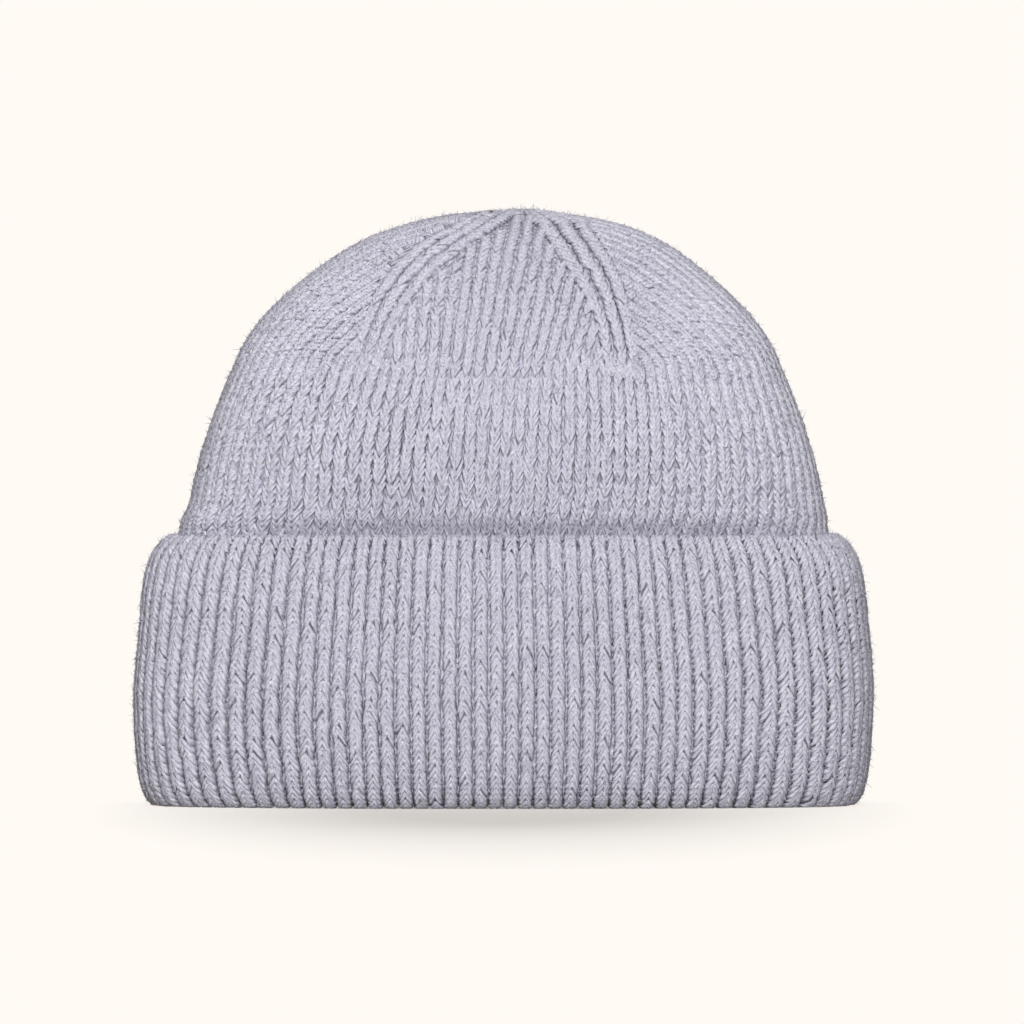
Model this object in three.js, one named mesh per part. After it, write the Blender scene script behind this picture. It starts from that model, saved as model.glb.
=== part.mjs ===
// A cuffed knit hat that stands on its rim: a hollow knitted crown, and a ribbed cuff turned up round it.
// Millimetres, +Z up, front towards -Y. The origin is on the surface that the hat stands on, at the middle
// of the rim.

import * as THREE from "three";

// Sizes of the whole hat.
const HAT_HEIGHT = 194;
const KNIT_THICKNESS = 3.6;
const GAP_BETWEEN_PIECES = 0.3;

// Cuff: the band is two layers of knit, turned up at the rim and rolled over at its top edge.
const CUFF_HEIGHT = 88;
const CUFF_THICKNESS = 7.6;
const RIB_COUNT = 116;
const RIB_RELIEF = 1.9;
const RIM_CHANNEL_FLOOR = 4;

// Section exponent: 2 is an ellipse, and more makes a flatter front and back with tighter sides.
const CUFF_SQUARENESS = 2.7;
const CROWN_SQUARENESS = 2.6;
const APEX_SQUARENESS = 2.1;

// Crown: the decreases start here and run up to the apex, which lies a little to the right of the middle.
const DECREASE_START = 140;
const DECREASE_RIDGE = 1.5;
const DECREASE_RIDGE_GROWS_OVER = 7;
const CROWN_SHIFT = 1.1;
const APEX_SHIFT = 6.4;
const CROWN_SETTLES_OVER = 12;

// How finely the shapes are divided.
const INNER_CUFF_COLUMNS = RIB_COUNT;
const FRONT_WEDGE_COLUMNS = 12;
const SIDE_WEDGE_COLUMNS = 30;
const NARROWEST_INNER_RING = 11;
const ARC_SAMPLES = 720;
const HALVINGS = 40;

// Outer face of the cuff at the crests of its ribs, before its two folds are rounded off.
const CUFF_FACE = [
  { height: 0, halfWidth: 118.4, halfDepth: 61.5 },
  { height: 18, halfWidth: 119.2, halfDepth: 64.8 },
  { height: 36, halfWidth: 119.9, halfDepth: 65.6 },
  { height: 54, halfWidth: 118.6, halfDepth: 64.2 },
  { height: 72, halfWidth: 116.8, halfDepth: 61.6 },
  { height: 88, halfWidth: 115.4, halfDepth: 59.0 },
];

// How far the knit is stretched along its width, by share of the way round from a side (0) to the middle of
// the front or back (a quarter).
const KNIT_STRETCH = [
  { share: 0, stretch: 1.06 },
  { share: 0.05, stretch: 1.24 },
  { share: 0.09, stretch: 1.26 },
  { share: 0.14, stretch: 1.1 },
  { share: 0.19, stretch: 1.02 },
  { share: 0.25, stretch: 1 },
];

// The cuff's cut outline in three stretches, each row a station of it. Inset is the distance in from the
// face above, and ribs is the share of the full rib relief.
const CUFF_OUTSIDE = [
  { height: 0, inset: 10.2, ribs: 0 },
  { height: 0, inset: 5.4, ribs: 0 },
  { height: 2.6, inset: 2.9, ribs: 0.6 },
  { height: 8.5, inset: 0.8, ribs: 1 },
  { height: 22, inset: 0, ribs: 1 },
  { height: 38, inset: 0, ribs: 1 },
  { height: 54, inset: 0, ribs: 1 },
  { height: 70, inset: 0, ribs: 1 },
  { height: 79, inset: 1.3, ribs: 1 },
  { height: 84.4, inset: 3.9, ribs: 0.9 },
  { height: CUFF_HEIGHT, inset: 7.2, ribs: 0.5 },
];
const CUFF_INSIDE = [
  { height: 86.6, inset: 9.3, ribs: 0 },
  { height: 82.5, inset: 9.9, ribs: 0 },
  { height: 68, inset: 8.6, ribs: 0 },
  { height: 36, inset: CUFF_THICKNESS, ribs: 0 },
  { height: RIM_CHANNEL_FLOOR, inset: CUFF_THICKNESS, ribs: 0 },
];
const CUFF_BOTTOM_LIP = [
  { height: RIM_CHANNEL_FLOOR, inset: 11.6, ribs: 0 },
  { height: 1.2, inset: 11.6, ribs: 0 },
];

// Outer face of the crown above the cuff.
const CROWN_FACE = [
  { height: 91, halfWidth: 105.0, halfDepth: 50.0 },
  { height: 99, halfWidth: 102.8, halfDepth: 53.0 },
  { height: 109, halfWidth: 100.5, halfDepth: 55.2 },
  { height: 119, halfWidth: 97.7, halfDepth: 56.3 },
  { height: 130, halfWidth: 93.9, halfDepth: 56.0 },
  { height: DECREASE_START, halfWidth: 89.9, halfDepth: 54.2 },
  { height: 149, halfWidth: 86.0, halfDepth: 51.7 },
  { height: 157.5, halfWidth: 80.2, halfDepth: 48.1 },
  { height: 165.5, halfWidth: 72.6, halfDepth: 43.4 },
  { height: 172.5, halfWidth: 64.3, halfDepth: 38.0 },
  { height: 179, halfWidth: 55.4, halfDepth: 31.8 },
  { height: 184.6, halfWidth: 45.8, halfDepth: 25.4 },
  { height: 188.7, halfWidth: 35.6, halfDepth: 19.2 },
  { height: 191.4, halfWidth: 24.6, halfDepth: 13.0 },
  { height: 193.1, halfWidth: 12.5, halfDepth: 7.0 },
  { height: 193.8, halfWidth: 4.6, halfDepth: 3.4 },
];

// Where the two decrease lines on the front cross each height, as x. The back has the same two lines.
const DECREASE_LINES = [
  { height: DECREASE_START, left: -40, right: 32.6 },
  { height: 154, left: -35, right: 30.4 },
  { height: 165, left: -29, right: 26.6 },
  { height: 175, left: -20.2, right: 21 },
  { height: 184, left: -7.4, right: 14.7 },
  { height: 190, left: 1.6, right: 10 },
  { height: HAT_HEIGHT, left: APEX_SHIFT, right: APEX_SHIFT },
];

// A smooth curve through the rows of a table: one of its columns, read at a value of its key column.
function readTable(table, value, column, key = "height") {
  const last = table.length - 1;
  if (value <= table[0][key]) return table[0][column];
  if (value >= table[last][key]) return table[last][column];
  const k = table.findIndex((row) => row[key] > value) - 1;
  const slope = (i) => {
    const low = table[Math.max(i - 1, 0)];
    const high = table[Math.min(i + 1, last)];
    return (high[column] - low[column]) / (high[key] - low[key]);
  };
  const span = table[k + 1][key] - table[k][key];
  const t = (value - table[k][key]) / span;
  const rise = table[k + 1][column] - table[k][column];
  const start = slope(k) * span;
  const end = slope(k + 1) * span;
  return table[k][column] + t * (start + t * (3 * rise - 2 * start - end + t * (start + end - 2 * rise)));
}

// Where each share of the knit lies round the hat once it is stretched: wider ribs at the turns to the sides.
const STRETCH_STEPS = 100;
const STRETCHED_QUARTER = [0];
for (let i = 0; i < STRETCH_STEPS; i++) {
  const middle = ((i + 0.5) / STRETCH_STEPS) * 0.25;
  STRETCHED_QUARTER.push(STRETCHED_QUARTER[i] + readTable(KNIT_STRETCH, middle, "stretch", "share"));
}

function stretchedShare(share) {
  const quarters = share * 4;
  const whole = Math.floor(quarters);
  const fromSide = whole % 2 === 0 ? quarters - whole : whole + 1 - quarters;
  const place = fromSide * STRETCH_STEPS;
  const i = Math.min(Math.floor(place), STRETCH_STEPS - 1);
  const length = THREE.MathUtils.lerp(STRETCHED_QUARTER[i], STRETCHED_QUARTER[i + 1], place - i);
  const stretched = length / STRETCHED_QUARTER[STRETCH_STEPS];
  return (whole % 2 === 0 ? whole + stretched : whole + 1 - stretched) / 4;
}

// One flattened round section of the hat, with its points found by their share of the way round it.
class Section {
  constructor(halfWidth, halfDepth, squareness, centreX = 0) {
    this.halfWidth = halfWidth;
    this.halfDepth = halfDepth;
    this.squareness = squareness;
    this.centreX = centreX;
    this.lengths = [0];
    let before = this.at(0);
    for (let i = 1; i <= ARC_SAMPLES; i++) {
      const now = this.at((i / ARC_SAMPLES) * 2 * Math.PI);
      this.lengths.push(this.lengths[i - 1] + now.distanceTo(before));
      before = now;
    }
  }

  at(angle) {
    const across = Math.abs(Math.cos(angle) / this.halfWidth) ** this.squareness;
    const deep = Math.abs(Math.sin(angle) / this.halfDepth) ** this.squareness;
    const radius = (across + deep) ** (-1 / this.squareness);
    return new THREE.Vector2(this.centreX + radius * Math.cos(angle), radius * Math.sin(angle));
  }

  pointAtShare(share) {
    const wanted = (share - Math.floor(share)) * this.lengths[ARC_SAMPLES];
    let i = this.lengths.findIndex((length) => length > wanted);
    if (i < 0) i = ARC_SAMPLES;
    const part = (wanted - this.lengths[i - 1]) / (this.lengths[i] - this.lengths[i - 1]);
    return this.at(((i - 1 + part) / ARC_SAMPLES) * 2 * Math.PI);
  }

  // The share of the way round at which the front of the section crosses a given x.
  shareOfFrontX(x) {
    let low = Math.PI;
    let high = 2 * Math.PI;
    for (let i = 0; i < HALVINGS; i++) {
      const middle = (low + high) / 2;
      if (this.at(middle).x < x) low = middle;
      else high = middle;
    }
    const place = (low / (2 * Math.PI)) * ARC_SAMPLES;
    const i = Math.min(Math.floor(place), ARC_SAMPLES - 1);
    const length = this.lengths[i] + (place - i) * (this.lengths[i + 1] - this.lengths[i]);
    return length / this.lengths[ARC_SAMPLES];
  }
}

// A closed mesh made from rings of points. Neighbouring rings may hold different numbers of points, as long
// as one number is a whole multiple of the other.
class RingMesh {
  constructor() {
    this.positions = [];
    this.faces = [];
  }

  addPoint(point) {
    this.positions.push(point.x, point.y, point.z);
    return this.positions.length / 3 - 1;
  }

  addRing(points) {
    return points.map((point) => this.addPoint(point));
  }

  joinRings(lower, upper) {
    const count = Math.max(lower.length, upper.length);
    for (let i = 0; i < count; i++) {
      const place = (ring, step) => ring[Math.floor(((i + step) * ring.length) / count) % ring.length];
      const a = place(lower, 0);
      const b = place(lower, 1);
      const c = place(upper, 1);
      const d = place(upper, 0);
      if (a !== b) this.faces.push([a, b, c]);
      if (c !== d) this.faces.push([a, c, d]);
    }
  }

  joinToPole(ring, pole) {
    ring.forEach((index, i) => this.faces.push([index, ring[(i + 1) % ring.length], pole]));
  }

  joinFromPole(pole, ring) {
    ring.forEach((index, i) => this.faces.push([ring[(i + 1) % ring.length], index, pole]));
  }

  toMesh(name, material) {
    const geometry = new THREE.BufferGeometry();
    geometry.setAttribute("position", new THREE.Float32BufferAttribute(this.positions, 3));
    geometry.setIndex(this.faces.flat());
    geometry.computeVertexNormals();
    const mesh = new THREE.Mesh(geometry, material);
    mesh.name = name;
    return mesh;
  }
}

// The section of the cuff at one station of its outline, cut in by a rib's relief where asked.
function cuffSection(station, relief) {
  const inset = station.inset + relief;
  const halfWidth = readTable(CUFF_FACE, station.height, "halfWidth") - inset;
  const halfDepth = readTable(CUFF_FACE, station.height, "halfDepth") - inset;
  return new Section(halfWidth, halfDepth, CUFF_SQUARENESS);
}

// The cuff: ribs run up its outer face and over its top fold, and the channel inside its bottom fold holds
// the crown's lower edge.
function buildCuff(material) {
  const mesh = new RingMesh();
  const outline = [...CUFF_OUTSIDE, ...CUFF_INSIDE, ...CUFF_BOTTOM_LIP];
  const rings = outline.map((station) => {
    const ribbed = station.ribs > 0;
    const columns = ribbed ? 2 * RIB_COUNT : INNER_CUFF_COLUMNS;
    const crest = cuffSection(station, 0);
    const groove = cuffSection(station, RIB_RELIEF * station.ribs);
    const points = [];
    for (let i = 0; i < columns; i++) {
      const section = i % 2 === 1 && ribbed ? groove : crest;
      const plan = section.pointAtShare(stretchedShare(i / columns));
      points.push(new THREE.Vector3(plan.x, plan.y, station.height));
    }
    return mesh.addRing(points);
  });
  rings.forEach((ring, k) => mesh.joinRings(ring, rings[(k + 1) % rings.length]));
  return mesh.toMesh("cuff", material);
}

// The crown's outer face below the top of the cuff follows the inside of the cuff, a small gap away from it
// and from the floor of its channel.
function hiddenCrownRows() {
  const rows = CUFF_INSIDE.map((station) => {
    const inset = station.inset + GAP_BETWEEN_PIECES;
    return {
      height: Math.max(station.height, RIM_CHANNEL_FLOOR + GAP_BETWEEN_PIECES),
      halfWidth: readTable(CUFF_FACE, station.height, "halfWidth") - inset,
      halfDepth: readTable(CUFF_FACE, station.height, "halfDepth") - inset,
    };
  });
  return rows.reverse();
}

// How far up its decreases a height lies: 0 where they start and 1 at the apex.
function decreaseShare(height) {
  return THREE.MathUtils.clamp((height - DECREASE_START) / (HAT_HEIGHT - DECREASE_START), 0, 1);
}

function crownSection(row) {
  const share = decreaseShare(row.height);
  const squareness = THREE.MathUtils.lerp(CROWN_SQUARENESS, APEX_SQUARENESS, share);
  const aboveCuff = THREE.MathUtils.smoothstep(row.height, CUFF_HEIGHT, CUFF_HEIGHT + CROWN_SETTLES_OVER);
  const squarenessHere = THREE.MathUtils.lerp(CUFF_SQUARENESS, squareness, aboveCuff);
  const centre = CROWN_SHIFT * aboveCuff + (APEX_SHIFT - CROWN_SHIFT) * share ** 2;
  return new Section(row.halfWidth, row.halfDepth, squarenessHere, centre);
}

// Shares of the way round at which the four decrease lines cross one section of the crown. They run up the
// front and, mirrored, up the back, and meet at the apex.
function decreaseLines(section, height) {
  const frontLeft = section.shareOfFrontX(readTable(DECREASE_LINES, height, "left"));
  const frontRight = section.shareOfFrontX(readTable(DECREASE_LINES, height, "right"));
  return [1 - frontRight, 1 - frontLeft, frontLeft, frontRight];
}

// The points of one ring of the crown: its columns follow the decrease lines, which stand up as low ridges.
function crownRing(row, linesFrom) {
  const section = crownSection(row);
  const lines = linesFrom ?? decreaseLines(section, row.height);
  const fullHeight = DECREASE_START + DECREASE_RIDGE_GROWS_OVER;
  const grown = THREE.MathUtils.smoothstep(row.height, DECREASE_START, fullHeight);
  const ridge = DECREASE_RIDGE * grown;
  const ridged = crownSection({
    height: row.height,
    halfWidth: row.halfWidth + ridge,
    halfDepth: row.halfDepth + ridge,
  });
  const wedges = [SIDE_WEDGE_COLUMNS, FRONT_WEDGE_COLUMNS, SIDE_WEDGE_COLUMNS, FRONT_WEDGE_COLUMNS];
  const points = [];
  wedges.forEach((columns, wedge) => {
    const start = wedge === 0 ? lines[3] - 1 : lines[wedge - 1];
    const end = lines[wedge];
    for (let i = 0; i < columns; i++) {
      const used = i === 0 ? ridged : section;
      const plan = used.pointAtShare(start + ((end - start) * i) / columns);
      points.push(new THREE.Vector3(plan.x, plan.y, row.height));
    }
  });
  return points;
}

// Points moved into the wall by its thickness, square to the surface that the rings describe.
function innerRings(rings) {
  return rings.map((ring, k) =>
    ring.map((point, i) => {
      const above = rings[Math.min(k + 1, rings.length - 1)][i];
      const below = rings[Math.max(k - 1, 0)][i];
      const ahead = ring[(i + 1) % ring.length];
      const behind = ring[(i + ring.length - 1) % ring.length];
      const normal = ahead.clone().sub(behind).cross(above.clone().sub(below)).normalize();
      return point.clone().addScaledVector(normal, -KNIT_THICKNESS);
    }),
  );
}

function startsDecreasing(row) {
  return row.height >= DECREASE_START;
}

// The crown: an outer and an inner face, joined round the lower edge and closed at the apex.
function buildCrown(material) {
  const rows = [...hiddenCrownRows(), ...CROWN_FACE];
  const straightLines = decreaseLines(crownSection(CROWN_FACE.find(startsDecreasing)), DECREASE_START);
  const outer = rows.map((row) => crownRing(row, row.height < DECREASE_START ? straightLines : null));
  const inner = innerRings(outer)
    .filter((ring, k) => rows[k].halfWidth > NARROWEST_INNER_RING)
    .map((ring) => ring.filter((point, i) => i % 2 === 0));
  const mesh = new RingMesh();
  const outerRings = outer.map((ring) => mesh.addRing(ring));
  const innerFace = inner.map((ring) => mesh.addRing(ring));
  const apex = mesh.addPoint(new THREE.Vector3(APEX_SHIFT, 0, HAT_HEIGHT));
  const innerApex = mesh.addPoint(new THREE.Vector3(APEX_SHIFT, 0, HAT_HEIGHT - KNIT_THICKNESS));
  for (let k = 0; k + 1 < outerRings.length; k++) mesh.joinRings(outerRings[k], outerRings[k + 1]);
  mesh.joinToPole(outerRings.at(-1), apex);
  for (let k = 0; k + 1 < innerFace.length; k++) mesh.joinRings(innerFace[k + 1], innerFace[k]);
  mesh.joinFromPole(innerApex, innerFace.at(-1));
  mesh.joinRings(innerFace[0], outerRings[0]);
  return mesh.toMesh("crown", material);
}

const knit = new THREE.MeshStandardMaterial({ color: 0xb3b1bf, roughness: 0.95, metalness: 0 });
const ribbedKnit = new THREE.MeshStandardMaterial({ color: 0xafacb9, roughness: 0.95, metalness: 0 });

const hat = new THREE.Group();
hat.add(buildCrown(knit));
hat.add(buildCuff(ribbedKnit));

export default hat;
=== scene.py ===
"""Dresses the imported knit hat: ribbed cuff, stocking-stitch crown, decrease bands, cloth underneath and fuzz.

Every stitch is two legs of yarn. One stitch is modelled, a strip of copies is made with an Array modifier,
and the strip is then laid over the hat wale by wale and course by course. A wale is a column of stitches and
a course is a row of them. The tables of heights and widths are in millimetres and follow the shapes of the
part's source, with a deeper crease above the cuff and a top that leans further left. Meshes are in metres.
"""

import math

import bmesh
import bpy
import numpy as np
from bpy.props import FloatProperty, FloatVectorProperty, IntProperty, PointerProperty
from mathutils import Matrix, Vector


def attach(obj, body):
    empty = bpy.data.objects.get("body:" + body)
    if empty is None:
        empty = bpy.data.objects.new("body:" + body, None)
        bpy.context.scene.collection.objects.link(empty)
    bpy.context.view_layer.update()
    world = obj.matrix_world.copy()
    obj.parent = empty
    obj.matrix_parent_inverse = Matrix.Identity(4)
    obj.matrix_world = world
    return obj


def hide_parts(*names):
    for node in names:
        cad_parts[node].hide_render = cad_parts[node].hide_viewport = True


bl_info = {
    "name": "Knit Hat",
    "version": (1, 0, 0),
    "blender": (4, 5, 0),
    "location": "3D View > Sidebar > Knit Hat",
    "description": "Builds the stitches, cloth and fuzz of a cuffed knit hat on its packed frame",
    "category": "Add Mesh",
}

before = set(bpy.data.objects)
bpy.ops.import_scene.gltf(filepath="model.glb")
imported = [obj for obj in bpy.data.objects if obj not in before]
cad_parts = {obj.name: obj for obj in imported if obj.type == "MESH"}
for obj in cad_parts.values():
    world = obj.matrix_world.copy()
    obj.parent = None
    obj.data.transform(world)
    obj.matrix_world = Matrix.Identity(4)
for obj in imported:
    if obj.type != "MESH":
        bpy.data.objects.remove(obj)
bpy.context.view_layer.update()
MM = 0.001
TINY = 1e-9

# The hat's shape in millimetres, as in the part's source, but for fewer ribs and a slightly lower apex
HAT_HEIGHT = 194
CUFF_HEIGHT = 88
CROWN_SETTLES_OVER = 12
CUFF_SQUARENESS = 2.7
CROWN_SQUARENESS = 2.6
APEX_SQUARENESS = 2.1
CROWN_SHIFT = 1.1
APEX_SHIFT = 6.4
APEX_DROP = 1.0
APEX_DROP_FROM = 180
DECREASE_START = 140
RIB_COUNT = 106

CUFF_FACE = (
    "height half_width half_depth",
    (0, 118.4, 61.5),
    (18, 119.2, 64.8),
    (36, 119.9, 65.6),
    (54, 118.6, 64.2),
    (72, 116.8, 61.6),
    (88, 115.4, 59.0),
)
KNIT_STRETCH = (
    "share stretch",
    (0, 1.35),
    (0.05, 1.38),
    (0.09, 1.25),
    (0.14, 1.06),
    (0.19, 1),
    (0.25, 0.98),
)
# How much deeper the grooves are near the two sides, and over which shares of the way round that fades
SIDE_DEPTH = 0.9
SIDE_DEPTH_FROM = 0.03
SIDE_DEPTH_TO = 0.12
# The stitches' way over the cuff, from inside the bottom fold, up the face and over the top fold
CUFF_KNIT = (
    "height inset ribs",
    (4.2, 12.0, 0.2),
    (1.6, 11.7, 0.2),
    (0, 10.0, 0.2),
    (0, 5.6, 0.2),
    (2.4, 2.9, 0.35),
    (8.5, 0.9, 0.85),
    (22, 0, 1),
    (38, 0, 1),
    (54, 0, 1),
    (70, 0, 1),
    (78.6, 0.9, 1),
    (83.8, 3.1, 0.9),
    (87.4, 6.5, 0.8),
    (87.8, 9.0, 0.5),
    (85.0, 11.0, 0.4),
    (81, 12.0, 0.4),
)
# The cuff's cloth under its stitches, as a closed way round: outside, top, inside and bottom
CUFF_CLOTH = (
    "height inset ribs",
    (1.4, 11.2, 0),
    (1.4, 6.2, 0.1),
    (3.5, 4.2, 0.3),
    (9, 2.5, 0.85),
    (22, 1.7, 1),
    (38, 1.7, 1),
    (54, 1.7, 1),
    (70, 1.7, 1),
    (78.2, 2.6, 1),
    (82.6, 4.9, 0.8),
    (85.8, 7.6, 0.5),
    (85.6, 9.0, 0),
    (80, 9.9, 0),
    (68, 8.6, 0),
    (36, 7.6, 0),
    (4, 7.6, 0),
    (4, 11.2, 0),
    (1.4, 11.2, 0),
)
CROWN_FACE = (
    "height half_width half_depth",
    (4.3, 110.6, 54.2),
    (36, 112.0, 57.7),
    (68, 108.4, 53.3),
    (82.5, 105.7, 45.0),
    (87.5, 105.3, 44.8),
    (93, 104.6, 49.8),
    (98, 103.0, 51.9),
    (107, 101.0, 54.6),
    (119, 97.7, 56.3),
    (130, 93.9, 56.0),
    (140, 89.9, 54.2),
    (149, 86.0, 51.7),
    (157.5, 80.2, 48.1),
    (165.5, 72.6, 43.4),
    (172.5, 64.3, 38.0),
    (179, 55.4, 31.8),
    (184.6, 45.8, 25.4),
    (188.7, 35.6, 19.2),
    (191.4, 24.6, 13.0),
    (193.1, 12.5, 7.0),
    (193.8, 4.6, 3.4),
    (194, 0.5, 0.4),
)
TOP_CENTRE = (
    "height centre",
    (140, 1.1),
    (165, 1.3),
    (184, 1.9),
    (191, 2.9),
    (193.1, 4.2),
    (194, 6.4),
)
DECREASE_LINES = (
    "height left right",
    (140, -40, 32.6),
    (154, -35, 30.4),
    (165, -29, 26.6),
    (175, -20.2, 21),
    (184, -7.4, 14.7),
    (190, 1.6, 10),
    (194, 6.4, 6.4),
)
# A strand's way up one leg of a stitch: wales across, courses along, radii outwards, and its thickness
RIB_STRAND = (
    "across along out thickness",
    (-0.020, -0.28, 0.10, 0.80),
    (0.110, 0.07, 0.40, 1.0),
    (0.290, 0.53, 0.40, 1.0),
    (0.430, 0.98, -0.30, 0.85),
)
CROWN_STRAND = (
    "across along out thickness",
    (-0.020, -0.26, 0.12, 0.80),
    (0.110, 0.07, 0.40, 1.0),
    (0.290, 0.49, 0.40, 1.0),
    (0.420, 0.90, -0.25, 0.85),
)
# The two strands of a leg: how many courses up each lies, how many radii out, and how wide it reaches
LEG_STRANDS = (
    "along out spread",
    (0.0, 0.04, 1.0),
    (0.49, -0.04, 0.92),
)
# How deep the crown's wales are, by the share of the way up its straight part
BODY_RIBS = (
    "share ribs",
    (0, 0.5),
    (0.6, 0.5),
    (1, 0.7),
)
STITCH_STRANDS = 4
STRAND_SIDES = 4
STRAND_FLATNESS = 0.8
# How unevenly the stitches lie: the spread of their size, slant, place and height
SIZE_SPREAD = 0.05
SLANT_SPREAD = 0.06
COURSE_SPREAD = 0.07
WALE_SPREAD = 0.02
POINT_SPREAD = 0.012
HEIGHT_SPREAD = 0.05 * MM
COURSE_WANDER = 0.10
# How many wales and courses the patches span in which stitches wander sideways, lie higher and swell together
WANDER_PATCH = (5, 8)
COURSE_PATCH = (7, 5)
SWELL_PATCH = (9, 7)
# How far out a wale goes on falling, where 1 is its edge
FALL_REACH = 1.1
# How the loose fibres lie: how far each starts from the yarn's outer side, turns off the yarn and stands out
FUZZ_SIDE_SPREAD = 0.45
FUZZ_TURN_SPREAD = 0.8
FUZZ_LEAST_LIFT = 0.08
FUZZ_LIFT = 0.9
FUZZ_LIFT_SHAPE = (0.9, 3.2)
# The spread of the fibres' lengths, the longest as a share of the common length, and their range of widths
FUZZ_LENGTH_SHAPE = 3.0
FUZZ_LONGEST = 2.4
FUZZ_WIDTHS = (0.6, 1.3)
# The seeds of the chances that each piece draws
CUFF_SEED = 11
CROWN_SEED = 23
WEDGE_SEED = 31
BAND_SEED = 41
CUFF_FUZZ_SEED = 51
CROWN_FUZZ_SEED = 52
# Where the sides and the caps of a stitch's first strand lie in its tile of the bake map
SIDES_START = (0.015, 0.05)
SIDES_SIZE = (0.22, 0.9)
CAPS_START = (0.12, 0.02)
CAPS_RISE = 0.96
CAP_RADIUS = 0.01
NEEDLE_RADIUS = 0.4
# Points nearer than this are merged: at the cloth's seams, on its slivers and at a needle's tip
SEAM_GAP = 0.002 * MM
SLIVER = 0.001 * MM
TIP_GAP = 1e-7
# Nothing reaches lower than this over the floor
LOWEST = 0.02 * MM

# The crown's straight part, the decrease bands, the rounds drawn together at the apex, and the cloth
CROWN_WALES = 110
BODY_START = 82
CROWN_SKEW = 0.06
BAND_WALES = 3
BAND_WALE_WIDTH = 4.1 * MM
BAND_TOP_WIDTH = 1.5
BAND_WIDENS_FROM = 150
BAND_WIDENS_TO = 184
BAND_RISE = 0.5 * MM
GATHER_WALES = 12
GATHER_START = 192.4
BAND_NARROWS_OVER = 15 * MM
BAND_NARROWING_POWER = 0.8
BAND_LEAST_WIDTH = 0.08
BAND_FADES_OVER = 4
FRONT_SHARE = 0.75
BACK_SHARE = 0.25
CROWN_CLOTH_DEPTH = 1.5 * MM
CROWN_WALL = 3.6 * MM
CROWN_CLOTH_GRID = (132, 100)
CUFF_CLOTH_ROWS = 38
CUFF_CLOTH_PER_RIB = 4
CUFF_CLOTH_FALL = 0.35
CUFF_PURL_ROWS = 44
CROWN_PURL_ROWS = 110
# How many steps the way of a wale or a band is measured in
WAY_STEPS = 400
# The fibres drawn on the wool: the radius that their slants are measured at, the slants in degrees, how much
# the top's flatness counts as height, how far apart the slants' patterns lie, and the noise that shows
STREAK_RADIUS = 0.09
STREAK_SLANTS = (58, 122, 12)
STREAK_TOP_RISE = 0.8
STREAK_SHIFT = 7.3
PALE_STREAK = (0.58, 0.72)
DARK_STREAK = (0.40, 0.28)
# The yarn's plies and the fibres along them: how many of each, the hollow between plies, the painted shade in
# it, and their relief
PLIES = 2.0
PLY_HOLLOW = (0.30, 0.50)
FIBRES_ALONG = 2.6
FIBRES_AROUND = 11.0
FIBRE_SHIFT = 61.0
PLY_FIBRES = (1.0, 3, 0.62)
FIBRE_HEIGHT = 0.9
HOLLOW_HEIGHT = 0.55
YARN_TWIST = 0.55
YARN_HOLLOW_SHADE = 0.25
YARN_RELIEF = (0.5, 0.35 * MM)
# The cloth's purl bumps: how far their rows bow, how high they stand by the fibres, the painted shade in their
# hollows, and their relief
PURL_BOW = 1.3
PURL_HEIGHT = 0.5
PURL_HOLLOW_SHADE = (0.2, -1.0, 0.0, 0.4)
CLOTH_RELIEF = (0.9, 0.9 * MM)
# Noise by scale, detail and roughness, and the range of it that a mask shows
HEATHER_PATCHES = (38, 3)
HEATHER_PATCH_RANGE = (0.35, 0.65)
HEATHER_SPECKS = (900, 2)
HEATHER_SPECK_RANGE = (0.40, 0.68)
DARK_FIBRE_RANGE = (0.48, 0.34)
PALE_FIBRE_RANGE = (0.50, 0.64)
CLOTH_FIBRES = (1500, 3, 0.6)
FUZZ_PATCHES = (320, 2)
FUZZ_PATCH_RANGE = (0.38, 0.62)
FUZZ_DARKEST = 0.72
WOOL_SHEEN = 0.05
# The layers of the heather, as a mask, its share and its colour
HEATHER = (
    ("patches", 0.16, "Dark Fibre"),
    ("specks", 0.16, "Pale Fibre"),
    ("dark fibres", 0.36, "Dark Fibre"),
    ("pale fibres", 0.4, "Pale Fibre"),
    ("dark streaks", 0.5, "Dark Fibre"),
    ("pale streaks", 0.6, "Pale Fibre"),
)
# The stage: what the camera frames, and the soft lights by name, place, aim, width and power
VIEW_CENTRE = Vector((2.76 * MM, 0, 95.0 * MM))
VIEW_WIDTH = 332 * MM
VIEW_DISTANCE = 6.0
VIEW_ELEVATION = math.radians(0.4)
SENSOR = 36
LIGHTS = (
    ("Key", (-0.3, -1.9, 1.7), (0, 0, 0.09), 1.2, 26),
    ("Front", (0.15, -2.8, 0.4), (0, 0, 0.09), 0.8, 43),
    ("Back", (0.2, 2.6, 1.2), (0, 0, 0.1), 1.4, 56),
)
# How wide the floor is, how bright it and the air look, and how brightly they light the hat
FLOOR_RADIUS = 8
FLOOR_SEEN = 0.97
FLOOR_BOUNCE = 0.35
AIR_BOUNCE = 0.2
WORLD_LIGHT = 0.08
# How far from the hat's middle the floor fades into the air, how much it does nearest to the hat, and how
# much a distance beside or before the hat counts
FADE_FROM = 0.05
FADE_TO = 0.16
LEAST_FADE = 0.3
FADE_BESIDE = 1.2
FADE_BEFORE = 0.2


def read_table(table):
    """The columns of a table, by name, as arrays."""
    names = table[0].split()
    columns = np.array(table[1:], float).T
    return dict(zip(names, columns))


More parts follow.
